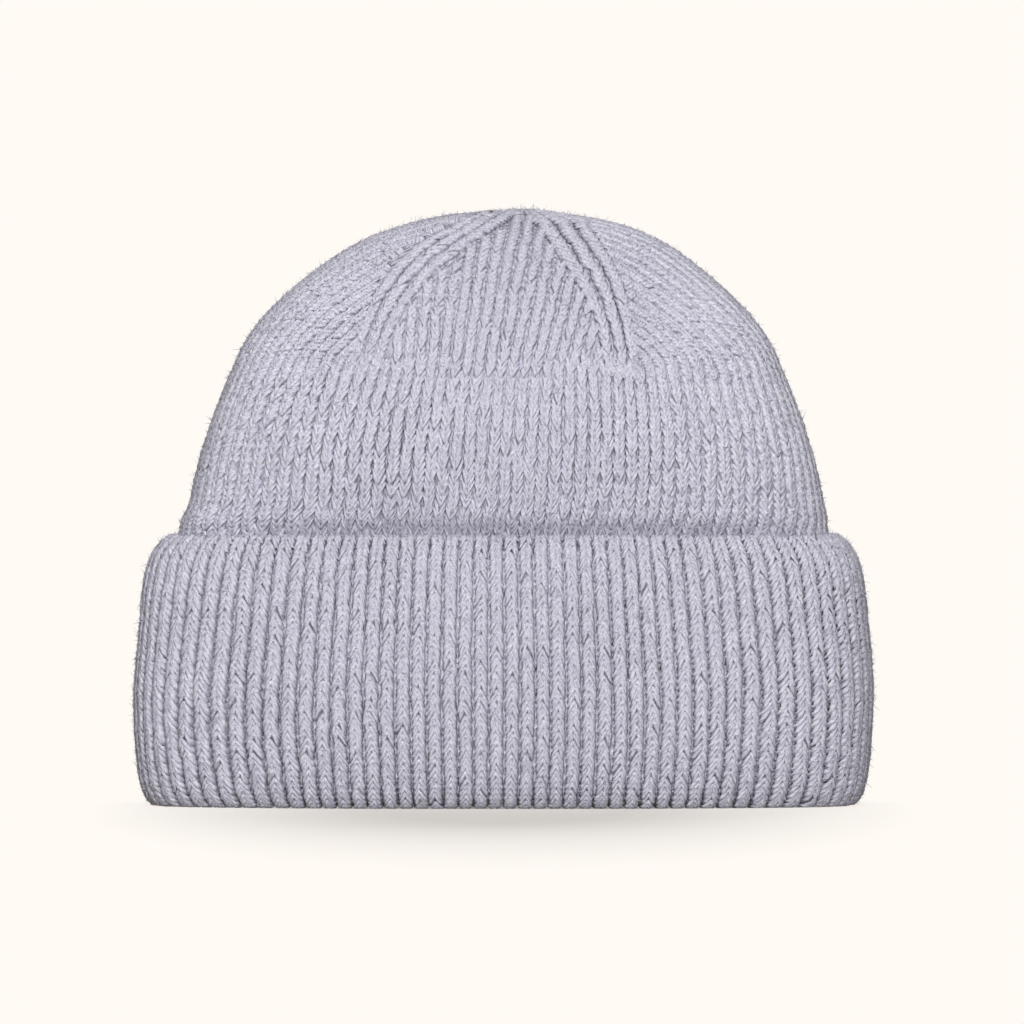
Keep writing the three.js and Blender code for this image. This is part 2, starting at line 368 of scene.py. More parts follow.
def smooth_between(knots, values, at):
    """A smooth curve through values at knots, read at each place."""
    slopes = np.empty(len(knots))
    slopes[1:-1] = (values[2:] - values[:-2]) / (knots[2:] - knots[:-2])
    slopes[0] = (values[1] - values[0]) / (knots[1] - knots[0])
    slopes[-1] = (values[-1] - values[-2]) / (knots[-1] - knots[-2])
    at = np.clip(at, knots[0], knots[-1])
    i = np.clip(np.searchsorted(knots, at, side="right") - 1, 0, len(knots) - 2)
    span = knots[i + 1] - knots[i]
    t = (at - knots[i]) / span
    rise = values[i + 1] - values[i]
    start = slopes[i] * span
    end = slopes[i + 1] * span
    return values[i] + t * (start + t * (3 * rise - 2 * start - end + t * (start + end - 2 * rise)))


def smooth_step(low, high, value):
    """0 below low, 1 above high, and an even turn between them."""
    t = np.clip((value - low) / (high - low), 0, 1)
    return t * t * (3 - 2 * t)


def soft_noise(x, y, seed):
    """Smooth seeded unevenness from -1 to 1, with one bump for each unit of x and y."""
    size = 64
    grid = np.random.default_rng(seed).uniform(-1, 1, (size, size))
    column = np.floor(x).astype(int)
    row = np.floor(y).astype(int)
    s = smooth_step(0, 1, x - column)
    t = smooth_step(0, 1, y - row)
    left = column % size
    right = (column + 1) % size
    low = grid[left, row % size] * (1 - s) + grid[right, row % size] * s
    high = grid[left, (row + 1) % size] * (1 - s) + grid[right, (row + 1) % size] * s
    return low * (1 - t) + high * t


def flat_lengths(across, up):
    """The length along a flat way at each of its points."""
    return np.concatenate([[0], np.cumsum(np.hypot(np.diff(across), np.diff(up)))])


def way_lengths(points):
    """The length along a way at each of its points."""
    steps = np.linalg.norm(np.diff(points, axis=0), axis=1)
    return np.concatenate([[0], np.cumsum(steps)])


def extend(length, lengths, levels):
    """The level at a length along a way, carried on straight past both of its ends."""
    inside = np.interp(length, lengths, levels)
    before = (levels[1] - levels[0]) / max(lengths[1] - lengths[0], TINY)
    after = (levels[-1] - levels[-2]) / max(lengths[-1] - lengths[-2], TINY)
    return inside + np.minimum(length, 0) * before + np.maximum(length - lengths[-1], 0) * after


def stretched_share(share):
    """Where a share of the knit lies round the hat once it is stretched at the turns to the sides."""
    table = read_table(KNIT_STRETCH)
    steps = np.linspace(0, 0.25, 101)
    middles = (steps[1:] + steps[:-1]) / 2
    lengths = np.concatenate([[0], np.cumsum(smooth_between(table["share"], table["stretch"], middles))])
    quarters = share * 4
    whole = np.floor(quarters)
    part = quarters - whole
    even = whole % 2 == 0
    from_side = np.where(even, part, 1 - part)
    stretched = np.interp(from_side * 0.25, steps, lengths / lengths[-1])
    return (whole + np.where(even, stretched, 1 - stretched)) / 4


def side_depth(share):
    """How deep the grooves are at a share of the way round: 1 in front, and deeper near the two sides."""
    from_side = np.abs((share * 2 + 0.5) % 1 - 0.5) / 2
    return 1 + SIDE_DEPTH * (1 - smooth_step(SIDE_DEPTH_FROM, SIDE_DEPTH_TO, from_side))


def unit(vectors):
    """Vectors at length 1."""
    return vectors / np.maximum(np.linalg.norm(vectors, axis=-1, keepdims=True), 1e-12)


class KnitTube:
    """A tube of knitting, as flattened rounds along a way, each moved straight inwards by its inset.

    A place on it is a share of the way round, 0 at +X and 0.25 at the back, and a level along the way.
    """

    LEVELS = 360
    TURNS = 720
    SHARE_STEP = 0.0015
    LEVEL_STEP = 0.6
    WIDEST_SIDE = 0.995

    def __init__(self, height, half_width, half_depth, squareness, centre, inset=None):
        inset = np.zeros(len(height)) if inset is None else inset
        knots = flat_lengths(height, half_width - inset)
        levels = np.linspace(0, knots[-1], self.LEVELS + 1)
        self.inset = np.zeros(self.LEVELS + 1)
        self.height = smooth_between(knots, height, levels) * MM
        self.half_width = smooth_between(knots, half_width, levels) * MM
        self.half_depth = smooth_between(knots, half_depth, levels) * MM
        self.squareness = squareness(self.height / MM)
        self.centre = centre(self.height / MM) * MM
        turns = np.linspace(0, 2 * math.pi, self.TURNS + 1)
        every = np.arange(self.LEVELS + 1)
        grid_turns, grid_levels = np.meshgrid(turns, every)
        points = self.at_turn(grid_turns, grid_levels)
        self.inset = smooth_between(knots, inset, levels) * MM
        steps = np.linalg.norm(np.diff(points, axis=1), axis=2)
        arcs = np.concatenate([np.zeros((len(every), 1)), np.cumsum(steps, axis=1)], axis=1)
        self.perimeter = arcs[:, -1]
        self.share_of_turn = arcs / arcs[:, -1:]
        shares = np.linspace(0, 1, self.TURNS + 1)
        self.turn_of_share = np.array([np.interp(shares, row, turns) for row in self.share_of_turn])

    def read(self, column, level):
        """A column at a level, with even steps between its rows."""
        level = np.clip(level, 0, self.LEVELS)
        low = np.minimum(level.astype(int), self.LEVELS - 1)
        part = level - low
        return column[low] * (1 - part) + column[low + 1] * part

    def at(self, measure, level):
        """One of the tube's own measures at a level, such as its height."""
        return self.read(getattr(self, measure), level)

    def read_grid(self, grid, around, level):
        """A grid of level and way round, at places whose way round is from 0 to 1."""
        level = np.clip(level, 0, self.LEVELS)
        row = np.minimum(level.astype(int), self.LEVELS - 1)
        up = level - row
        column_place = np.clip(around, 0, 1) * self.TURNS
        column = np.minimum(column_place.astype(int), self.TURNS - 1)
        across = column_place - column
        low = grid[row, column] * (1 - across) + grid[row, column + 1] * across
        high = grid[row + 1, column] * (1 - across) + grid[row + 1, column + 1] * across
        return low * (1 - up) + high * up

    def at_turn(self, turn, level):
        """Points at an angle about each round's own middle."""
        level = np.asarray(level, float)
        square = self.at("squareness", level)
        half_width = self.at("half_width", level)
        half_depth = self.at("half_depth", level)
        across = np.abs(np.cos(turn) / half_width) ** square
        deep = np.abs(np.sin(turn) / half_depth) ** square
        radius = (across + deep) ** (-1 / square)
        x = radius * np.cos(turn)
        y = radius * np.sin(turn)
        slope_x = np.sign(x) * across ** (1 - 1 / square) / half_width
        slope_y = np.sign(y) * deep ** (1 - 1 / square) / half_depth
        inwards = self.at("inset", level) / np.hypot(slope_x, slope_y)
        x = self.at("centre", level) + x - slope_x * inwards
        return np.stack([x, y - slope_y * inwards, self.at("height", level)], axis=-1)

    def point(self, share, level):
        """Points on the tube."""
        whole = np.floor(share)
        turn = self.read_grid(self.turn_of_share, share - whole, level)
        return self.at_turn(turn, level)

    def outward(self, share, level):
        """Unit directions straight out of the tube."""
        around = self.point(share + self.SHARE_STEP, level) - self.point(share - self.SHARE_STEP, level)
        above = np.minimum(level + self.LEVEL_STEP, self.LEVELS)
        below = np.maximum(level - self.LEVEL_STEP, 0)
        along = self.point(share, above) - self.point(share, below)
        return unit(np.cross(around, along))

    def level_at_height(self, height):
        """The level at a height, on a tube that only rises."""
        return np.interp(height, self.height, np.arange(self.LEVELS + 1))

    def share_at_x(self, x, level, back):
        """The share of the way round of a place on the front or back, from how far right it lies."""
        level = np.asarray(level, float)
        side = (x - self.at("centre", level)) / self.at("half_width", level)
        return self.share_at_side(np.clip(side, -self.WIDEST_SIDE, self.WIDEST_SIDE), level, back)

    def share_at_side(self, side, level, back):
        """The share of the way round of a place from -1 at the hat's left to 1 at its right."""
        square = self.at("squareness", level)
        deep = self.at("half_depth", level) * (1 - np.abs(side) ** square) ** (1 / square)
        turn = np.arctan2(deep if back else -deep, side * self.at("half_width", level))
        turn = np.where(turn < 0, turn + 2 * math.pi, turn)
        return self.read_grid(self.share_of_turn, turn / (2 * math.pi), level)


def cuff_tube():
    """The outside of the cuff, from inside its bottom fold to inside its top fold."""
    way = read_table(CUFF_KNIT)
    return inset_tube(way["height"], way["inset"])


def inset_tube(height, inset):
    """A tube that follows the cuff's face, a distance in from it."""
    face = read_table(CUFF_FACE)
    return KnitTube(
        height,
        smooth_between(face["height"], face["half_width"], height),
        smooth_between(face["height"], face["half_depth"], height),
        lambda z: np.full(len(z), CUFF_SQUARENESS),
        lambda z: np.zeros(len(z)),
        inset,
    )


def crown_squareness(height):
    """How square the crown's rounds are: as the cuff's where it leaves it, and rounder towards the apex."""
    share = np.clip((height - DECREASE_START) / (HAT_HEIGHT - DECREASE_START), 0, 1)
    above_cuff = smooth_step(CUFF_HEIGHT, CUFF_HEIGHT + CROWN_SETTLES_OVER, height)
    crown = CROWN_SQUARENESS + (APEX_SQUARENESS - CROWN_SQUARENESS) * share
    return CUFF_SQUARENESS + (crown - CUFF_SQUARENESS) * above_cuff


def crown_centre(height):
    """How far right the middle of each of the crown's rounds lies."""
    top = read_table(TOP_CENTRE)
    above_cuff = smooth_step(CUFF_HEIGHT, CUFF_HEIGHT + CROWN_SETTLES_OVER, height)
    return CROWN_SHIFT * above_cuff + np.interp(height, top["height"], top["centre"]) - CROWN_SHIFT


def crown_tube():
    """The outside of the crown, from the rim to the apex."""
    face = read_table(CROWN_FACE)
    tube = KnitTube(face["height"], face["half_width"], face["half_depth"], crown_squareness, crown_centre)
    near_apex = smooth_step(APEX_DROP_FROM * MM, HAT_HEIGHT * MM, tube.height)
    tube.height = tube.height - APEX_DROP * MM * near_apex
    return tube


def stitch_grid(wales, courses):
    """Each wale with each course, as two flat arrays."""
    wale, course = np.meshgrid(wales, np.arange(courses))
    return wale.ravel().astype(float), course.ravel().astype(float)


class Knit:
    """Knitting on a tube. Its places are given in wales and courses."""

    def rise(self, course):
        """How far the knitting stands out of the tube at a course."""
        return np.zeros(np.shape(course))

    def rib_share(self, course):
        """How much of a wale's full depth it has at a course."""
        return np.ones(np.shape(course))


class RoundKnit(Knit):
    """Wales that keep their share of the way round."""

    MORE_ROUNDS = 0

    def __init__(self, tube, wales, course, low, high, skew=0.0, ribs=None):
        self.tube = tube
        self.wales = wales
        self.skew = skew
        self.low = low
        self.ribs = ribs
        self.levels = np.linspace(low, high, WAY_STEPS)
        middle = self.share(np.full(WAY_STEPS, wales * FRONT_SHARE), self.levels)
        self.lengths = way_lengths(tube.point(middle, self.levels))
        self.courses = round(self.lengths[-1] / course)
        self.course = self.lengths[-1] / self.courses

    def rib_share(self, course):
        """How much of a wale's full depth it has at a course."""
        if self.ribs is None:
            return super().rib_share(course)
        heights, shares = self.ribs
        return np.interp(course / self.courses, heights, shares)

    def share(self, wale, level):
        """The share of the way round of a wale at a level, which leans a little as the knit is skewed."""
        base = stretched_share(wale / self.wales)
        if not self.skew:
            return base
        rise = self.tube.at("height", level) - self.tube.at("height", np.array(self.low))
        return base + self.skew * rise / self.tube.at("perimeter", level)

    def place(self, wale, course):
        """The share and level of a place given in wales and courses."""
        level = np.interp(course * self.course, self.lengths, self.levels)
        below = np.minimum(course * self.course, 0) / (self.lengths[-1] / (self.levels[-1] - self.low))
        level = level + below
        return self.share(wale, level), level

    def stitches(self):
        """Every stitch of the knit, as its wale and course."""
        return stitch_grid(np.arange(self.wales), self.courses + self.MORE_ROUNDS)


class BodyKnit(RoundKnit):
    """The crown's body, with one more round that lies just under the first stitches of the gathered top."""

    MORE_ROUNDS = 1
    SUNK = 0.35 * MM
    SINKS_FROM = -0.2
    SINKS_TO = 0.5

    def rise(self, course):
        """How far the knitting stands out of the tube at a course: the last round sinks in."""
        low = self.courses + self.SINKS_FROM
        return -self.SUNK * smooth_step(low, self.courses + self.SINKS_TO, course)

    def place(self, wale, course):
        """The share and level of a place given in wales and courses."""
        level = extend(course * self.course, self.lengths, self.levels)
        return self.share(wale, level), level


class CrownTop:
    """What the gathered top of the crown shares: its tube, its decrease lines and the wales that reach it."""

    def __init__(self, body, course):
        self.tube = body.tube
        self.body = body
        self.course = course
        self.start = self.tube.level_at_height(DECREASE_START * MM)
        self.end = float(self.tube.LEVELS)
        self.lines = read_table(DECREASE_LINES)

    def start_share(self, wale):
        """The share of the way round of a wale where the gathered top starts, and that level."""
        start = np.full(np.shape(wale), self.start)
        return self.body.share(wale, start), start

    def wales_about(self, middle, reach):
        """The wales up to a reach on both sides of a middle one."""
        return np.arange(int(middle) - reach, int(middle) + reach + 1)

    def line_share(self, level, side, back):
        """The share of the way round of the left or right decrease line, as on the front, at a level."""
        x = smooth_between(self.lines["height"], self.lines[side], self.tube.at("height", level) / MM) * MM
        return self.tube.share_at_x(x, level, back)

    def band_width(self, level, share):
        """How wide a decrease band is: its wales grow wider up the crown, and narrow again to the apex."""
        height = self.tube.at("height", level) / MM
        widened = 1 + (BAND_TOP_WIDTH - 1) * smooth_step(BAND_WIDENS_FROM, BAND_WIDENS_TO, height)
        apex = self.tube.point(np.full(np.shape(level), FRONT_SHARE), np.full(np.shape(level), self.end))
        left = np.linalg.norm(self.tube.point(share, level) - apex, axis=-1)
        narrowed = np.clip(left / BAND_NARROWS_OVER, BAND_LEAST_WIDTH, 1) ** BAND_NARROWING_POWER
        return BAND_WALES * BAND_WALE_WIDTH * widened * narrowed


class GatherKnit(RoundKnit):
    """The last rounds of stitches, drawn together over the ends of all the rest at the apex."""

    RISES_FROM = -0.3
    SHORT_OF_APEX = 0.5

    def __init__(self, top):
        low = top.tube.level_at_height(GATHER_START * MM)
        super().__init__(top.tube, GATHER_WALES, top.course, low, top.end - self.SHORT_OF_APEX)

    def rise(self, course):
        """How far the gathered stitches stand out: most in the middle of the apex."""
        return BAND_RISE * smooth_step(self.RISES_FROM, self.courses, course)


class WedgeKnit(Knit):
    """The front or back wedge, whose wales run straight up and end at the decrease lines."""

    LEAN_LEFT = math.radians(2)
    LEAN_RIGHT = math.radians(18)
    MARGIN = 0.1 * BAND_WALE_WIDTH

    def __init__(self, top, back):
        self.top = top
        self.back = back
        self.tube = top.tube
        self.middle_wale = top.body.wales * (BACK_SHARE if back else FRONT_SHARE)
        self.levels = np.linspace(top.start, top.end, WAY_STEPS)
        middle = self.share(np.full(WAY_STEPS, self.middle_wale), self.levels)
        self.lengths = way_lengths(self.tube.point(middle, self.levels))
        self.courses = int(self.lengths[-1] / top.course) + 1

    def share(self, wale, level):
        """A wale's share of the way round, from how far right it starts and how much it leans."""
        base = self.tube.point(*self.top.start_share(wale))[..., 0]
        left = self.top.lines["left"][0] * MM
        right = self.top.lines["right"][0] * MM
        across = np.clip((base - left) / (right - left), 0, 1)
        lean = self.LEAN_LEFT + (self.LEAN_RIGHT - self.LEAN_LEFT) * across
        rise = self.tube.at("height", level) - DECREASE_START * MM
        return self.tube.share_at_x(base + rise * np.tan(lean), level, self.back)

    def place(self, wale, course):
        """The share and level of a place given in wales and courses."""
        level = extend(course * self.top.course, self.lengths, self.levels)
        return self.share(wale, level), level

    def stitches(self):
        """The stitches between the two decrease lines."""
        wales = self.top.wales_about(self.middle_wale, self.top.body.wales // 4)
        wale, course = stitch_grid(wales, self.courses)
        share, level = self.place(wale, course + 0.5)
        left = self.top.line_share(level, "left", self.back)
        right = self.top.line_share(level, "right", self.back)
        low = np.minimum(left, right)
        high = np.maximum(left, right)
        margin = self.MARGIN / self.tube.at("perimeter", level)
        kept = (share > low + margin) & (share < high - margin) & (level < self.top.end - 1)
        return wale[kept], course[kept]


class SideKnit(Knit):
    """A side wedge, whose wales run parallel to the hat's outline and end at the decrease bands."""

    DEPTH = 0.8
    REACH = 0.26
    OVERLAP = 0.45
    LEAST_STEEPNESS = 0.3
    LEAST_STRAIGHT = 0.35
    FARTHEST_ACROSS = -0.98

    def __init__(self, top, left):
        self.top = top
        self.left = left
        self.name = "left" if left else "right"
        self.tube = top.tube
        self.side_share = 0.5 if left else 1.0
        self.side = -1 if left else 1
        self.middle_wale = top.body.wales * self.side_share
        self.levels = np.linspace(top.start, top.end, WAY_STEPS)
        self.lengths = way_lengths(self.tube.point(np.full(WAY_STEPS, self.side_share), self.levels))
        self.courses = int(self.lengths[-1] / top.course) + 1
        inwards = -np.gradient(self.side * self.tube.centre + self.tube.half_width)
        upwards = np.gradient(self.tube.height)
        size = np.hypot(inwards, upwards)
        self.lean = inwards / size
        self.rise_share = upwards / size

    def rib_share(self, course):
        """How much of a wale's full depth it has at a course."""
        return np.full(np.shape(course), self.DEPTH)

    def distance(self, wale):
        """How far in from the hat's outline a wale lies, as seen from the front."""
        share, start = self.top.start_share(wale)
        x = self.tube.point(share, start)[..., 0]
        outline = self.side * self.tube.at("centre", start) + self.tube.at("half_width", start)
        return np.maximum(outline - self.side * x, 0) * self.tube.read(self.rise_share, start)

    def place(self, wale, course):
        """The share and level of a place given in wales and courses."""
        distance = self.distance(wale)
        level = extend(course * self.top.course, self.lengths, self.levels)
        height = self.tube.at("height", level) - distance * self.tube.read(self.lean, level)
        level = self.tube.level_at_height(height) + np.maximum(level - self.tube.LEVELS, 0)
        steepness = np.maximum(self.tube.read(self.rise_share, level), self.LEAST_STEEPNESS)
        across = 1 - distance / (self.tube.at("half_width", level) * steepness)
        part = self.tube.share_at_side(np.clip(across, self.FARTHEST_ACROSS, 1), level, True)
        towards_back = self.top.start_share(wale)[0] - self.side_share
        return self.side_share + np.sign(towards_back) * part, level

    def stitches(self):
        """The stitches outside the two decrease bands."""
        wales = self.top.wales_about(self.middle_wale, int(self.top.body.wales * self.REACH))
        wale, course = stitch_grid(wales, self.courses)
        share, level = self.place(wale, course + 0.5)
        one_course = (self.levels[-1] - self.levels[0]) / self.courses
        kept = (level < self.top.end - 1) & (level > self.top.start - self.OVERLAP * one_course)
        for back in (False, True):
            kept &= self.clear_of_band(share, level, back)
        return wale[kept], course[kept]

    def clear_of_band(self, share, level, back):
        """Whether places lie on the side wedge's side of a decrease band."""
        line = self.top.line_share(level, self.name, back)
        line = np.where((self.side_share == 1.0) & (line < 0.5), line + 1, line)
        towards_line = 1 if back != self.left else -1
        across = (line - share) * self.tube.at("perimeter", level) * towards_line
        above = np.minimum(level + 1, self.top.end)
        line_above = self.top.line_share(above, self.name, back)
        start = self.tube.point(line, level)
        run = np.linalg.norm(self.tube.point(line_above, above) - start, axis=-1)
        straight = np.linalg.norm(self.tube.point(line, above) - start, axis=-1)
        steep = np.clip(straight / np.maximum(run, TINY), self.LEAST_STRAIGHT, 1)
        return across * steep > self.top.band_width(level, line) - self.OVERLAP * BAND_WALE_WIDTH


class BandKnit(Knit):
    """A decrease band: wales that follow a decrease line, on the side wedge's side of it."""

    STARTS_BELOW = 1
    SHORT_OF_APEX = 1.5
    SUNK_END = 0.35
    RISES_FROM = -0.5

    def __init__(self, top, name, back):
        self.top = top
        self.tube = top.tube
        self.levels = np.linspace(top.start - self.STARTS_BELOW, top.end - self.SHORT_OF_APEX, WAY_STEPS)
        self.shares = top.line_share(self.levels, name, back)
        self.lengths = way_lengths(self.tube.point(self.shares, self.levels))
        self.courses = int(self.lengths[-1] / top.course)
        perimeter = self.tube.at("perimeter", self.levels)
        stretch = self.level_length(self.shares, self.levels)
        around = np.gradient(self.shares) * perimeter
        up = np.gradient(self.levels) * stretch
        size = np.hypot(around, up)
        outwards = 1 if (name == "right") != back else -1
        self.step_share = outwards * (up / size) / perimeter
        self.step_level = -outwards * (around / size) / stretch

    def rise(self, course):
        """How far the band stands out: fully but for its ends, where it sinks into the rest."""
        starts = smooth_step(self.RISES_FROM, BAND_FADES_OVER, course)
        ends = smooth_step(0, BAND_FADES_OVER, self.courses - course)
        return BAND_RISE * starts * (self.SUNK_END + (1 - self.SUNK_END) * ends)

    def level_length(self, share, level):
        """How long one level is, straight up the crown."""
        above = np.minimum(level + 1, self.top.end)
        return np.linalg.norm(self.tube.point(share, above) - self.tube.point(share, above - 1), axis=-1)

    def place(self, wale, course):
        """The share and level of a place given in wales out from the line and courses along it."""
        length = np.clip(course * self.top.course, 0, self.lengths[-1])
        share = np.interp(length, self.lengths, self.shares)
        level = np.interp(length, self.lengths, self.levels)
        out = (wale + 0.5) / BAND_WALES * self.top.band_width(level, share)
        share = share + out * np.interp(length, self.lengths, self.step_share)
        level = level + out * np.interp(length, self.lengths, self.step_level)
        return share, np.minimum(level, self.top.end)

    def stitches(self):
        """Every stitch of the band, as its wale and course."""
        return stitch_grid(np.arange(BAND_WALES), self.courses)


def vertex_places(mesh):
    """The places of a mesh's points, one row each."""
    places = np.empty(len(mesh.vertices) * 3, np.float32)
    mesh.vertices.foreach_get("co", places)
    return places.reshape(-1, 3).astype(float)


def move_vertices(mesh, places):
    """Moves a mesh's points to new places."""
    mesh.vertices.foreach_set("co", places.astype(np.float32).ravel())


def finished_mesh(name, bm):
    """A mesh made of a bmesh, which is freed."""
    mesh = bpy.data.meshes.new(name)
    bm.to_mesh(mesh)
    bm.free()
    return mesh


def ring_matrix(place, ahead):
    """Turns a flat circle to stand across a strand that runs ahead, at a place."""
    across = ahead.cross(Vector((0, 0, 1))).normalized()
    out = across.cross(ahead).normalized() * STRAND_FLATNESS
    turn = Matrix((across, out, ahead)).transposed().to_4x4()
    return Matrix.Translation(place) @ turn


def add_strand(bm, places, radii):
    """One strand of a leg: rings along its way, bridged and closed at both ends."""
    rings = []
    last = len(places) - 1
    for i, place in enumerate(places):
        ahead = (places[min(i + 1, last)] - places[max(i - 1, 0)]).normalized()
        ring = bmesh.ops.create_circle(
            bm,
            cap_ends=i in (0, last),
            radius=radii[i],
            segments=STRAND_SIDES,
            matrix=ring_matrix(place, ahead),
        )
        rings.append(set(ring["verts"]))
    for low, high in zip(rings, rings[1:]):
        edges = [e for e in bm.edges if set(e.verts) <= low or set(e.verts) <= high]
        bmesh.ops.bridge_loops(bm, edges=edges)


def stitch_template(name, strand, look, upside_down):
    """One stitch of two legs, two strands each, with coordinates for its yarn and for baking."""
    way = read_table(strand)
    pair = read_table(LEG_STRANDS)
    stations = len(way["across"])
    bm = bmesh.new()
    for side in (-1, 1):
        for shift, lift, spread in zip(pair["along"], pair["out"], pair["spread"]):
            places = []
            for across, along, out in zip(way["across"], way["along"], way["out"]):
                up = along + shift
                up = 1 - up if upside_down else up
                x = side * across * spread * look["wale"]
                places.append(Vector((x, up * look["course"], (out + lift) * look["yarn"] / 2)))
            add_strand(bm, places, way["thickness"] * look["yarn"] / 2)
    bmesh.ops.recalc_face_normals(bm, faces=bm.faces)
    bm.verts.index_update()
    yarn_map = bm.loops.layers.uv.new("Yarn")
    bake_map = bm.loops.layers.uv.new("OFBake")
    per_strand = stations * STRAND_SIDES
    for face in bm.faces:
        sides = [vertex.index % STRAND_SIDES for vertex in face.verts]
        is_cap = len(set(vertex.index // STRAND_SIDES for vertex in face.verts)) == 1
        crosses_seam = 0 in sides and STRAND_SIDES - 1 in sides
        for loop in face.loops:
            index = loop.vert.index
            station = index % per_strand // STRAND_SIDES
            side = index % STRAND_SIDES
            share = station / (stations - 1)
            if is_cap:
                turn = side / STRAND_SIDES * 2 * math.pi
                flat_x = CAPS_START[0] + CAP_RADIUS * math.cos(turn)
                flat_y = CAPS_START[1] + CAPS_RISE * share + CAP_RADIUS * math.sin(turn)
                around = 0.5
            else:
                around = (side + STRAND_SIDES * (crosses_seam and side == 0)) / STRAND_SIDES
                flat_x = SIDES_START[0] + SIDES_SIZE[0] * around
                flat_y = SIDES_START[1] + SIDES_SIZE[1] * share
            flat = Vector((flat_x, flat_y))
            strand_number = index // per_strand
            loop[bake_map].uv = (flat.x + strand_number / STITCH_STRANDS, flat.y)
            loop[yarn_map].uv = (share, around + 0.5 * strand_number)
    mesh = finished_mesh(name, bm)
    add_outward_attribute(mesh)
    return mesh


def add_outward_attribute(mesh):
    """Stores how far outwards each point of a stitch faces, from -1 to 1."""
    normals = np.empty(len(mesh.vertices) * 3, np.float32)
    mesh.vertex_normals.foreach_get("vector", normals)
    facing = mesh.attributes.new("facing", "FLOAT", "POINT")
    facing.data.foreach_set("value", normals.reshape(-1, 3)[:, 2].copy())


def strip_of(template, count, step):
    """A strip of copies of a template, joined in one mesh, one whole copy after another."""
    holder = bpy.data.objects.new("strip", template)
    bpy.context.scene.collection.objects.link(holder)
    array = holder.modifiers.new("Copies", "ARRAY")
    array.fit_type = "FIXED_COUNT"
    array.count = count
    array.use_relative_offset = False
    array.use_constant_offset = True
    array.constant_offset_displace = (step, 0, 0)
    graph = bpy.context.evaluated_depsgraph_get()
    mesh = bpy.data.meshes.new_from_object(
        holder.evaluated_get(graph), preserve_all_data_layers=True, depsgraph=graph
    )
    bpy.data.objects.remove(holder)
    return mesh


def spread_bake_tiles(mesh, count):
    """Gives each copy in a strip its own tile of the bake map."""
    layer = mesh.uv_layers["OFBake"]
    flat = np.empty(len(mesh.loops) * 2, np.float32)
    layer.uv.foreach_get("vector", flat)
    tiles = flat.reshape(count, -1, 2)
    side = math.ceil(math.sqrt(count))
    number = np.arange(count)
    tiles[:, :, 0] = (tiles[:, :, 0] + (number % side)[:, None]) / side
    tiles[:, :, 1] = (tiles[:, :, 1] + (number // side)[:, None]) / side
    layer.uv.foreach_set("vector", tiles.ravel())


def lay_stitches(name, template, knit, wale, course, look, seed):
    """A piece of knitting: one stitch for each wale and course given, laid on the knit's tube.

    look gives the size of a wale and a course, the yarn's thickness, how far and how roundly the sides of
    a wale fall, and how far the knitting wanders sideways and swells.
    """
    count = len(wale)
    mesh = strip_of(template, count, look["wale"])
    local = vertex_places(template)
    chance = np.random.default_rng(seed)

    def uneven(spread, middle=0):
        """One chance value for each stitch."""
        return chance.normal(middle, spread, (count, 1))

    def patchy(patch, turn):
        """Smooth unevenness over patches of so many wales and courses, for each stitch."""
        wales, courses = patch
        return soft_noise(wale / wales, course / courses, seed + turn)[:, None]

    across = local[None, :, 0] / look["wale"] * uneven(SIZE_SPREAD, 1)
    along = local[None, :, 1] / look["course"] * uneven(SIZE_SPREAD, 1)
    slant = uneven(SLANT_SPREAD)
    full_wale = wale[:, None] + across + slant * along + look["wander"] * patchy(WANDER_PATCH, 1)
    full_course = course[:, None] + along + uneven(COURSE_SPREAD)
    full_course = full_course + COURSE_WANDER * patchy(COURSE_PATCH, 2)
    full_wale = full_wale + uneven(WALE_SPREAD) + chance.normal(0, POINT_SPREAD, across.shape)
    share, level = knit.place(full_wale.ravel(), full_course.ravel())
    from_middle = np.minimum(np.abs(across) * 2, FALL_REACH)
    height = local[None, :, 2] * uneven(SIZE_SPREAD, 1) - look["yarn"] / 2
    fall = look["fall"] * knit.rib_share(full_course) * side_depth(share).reshape(across.shape)
    height = height - fall * from_middle ** look["roundness"]
    height = height + uneven(HEIGHT_SPREAD) + chance.normal(0, HEIGHT_SPREAD, across.shape)
    height = height + knit.rise(full_course)
    height = height + look["swell"] * patchy(SWELL_PATCH, 3)
    points = knit.tube.point(share, level) + knit.tube.outward(share, level) * height.reshape(-1, 1)
    points[:, 2] = np.maximum(points[:, 2], LOWEST)
    move_vertices(mesh, points)
    tone = mesh.attributes.new("tone", "FLOAT", "POINT")
    tone.data.foreach_set("value", np.repeat(chance.random(count), len(local)).astype(np.float32))
    mesh.name = name
    return mesh


def joined(name, meshes):
    """One mesh of several, with all their maps and attributes."""
    bm = bmesh.new()
    for mesh in meshes:
        bm.from_mesh(mesh)
    return finished_mesh(name, bm)


def show_piece(name, mesh, node, material):
    """Puts a finished mesh in the scene as a piece of the hat that stands for a CAD node."""
    mesh.name = name
    mesh.update()
    mesh.polygons.foreach_set("use_smooth", np.ones(len(mesh.polygons), bool))
    mesh.materials.clear()
    mesh.materials.append(material)
    piece = bpy.data.objects.new(name, mesh)
    bpy.context.scene.collection.objects.link(piece)
    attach(piece, "root")
    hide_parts(node)
    return piece


def cloth_grid(columns, rows):
    """A flat grid from 0 to 1 both ways, with its own coordinates kept as maps for knitting and baking."""
    bm = bmesh.new()
    middle = Matrix.Translation((0.5, 0.5, 0))
    bmesh.ops.create_grid(bm, x_segments=columns, y_segments=rows, size=0.5, matrix=middle)
    maps = [bm.loops.layers.uv.new(name) for name in ("Yarn", "OFBake")]
    for face in bm.faces:
        for loop in face.loops:
            for layer in maps:
                loop[layer].uv = loop.vert.co.xy
    return finished_mesh("cloth grid", bm)


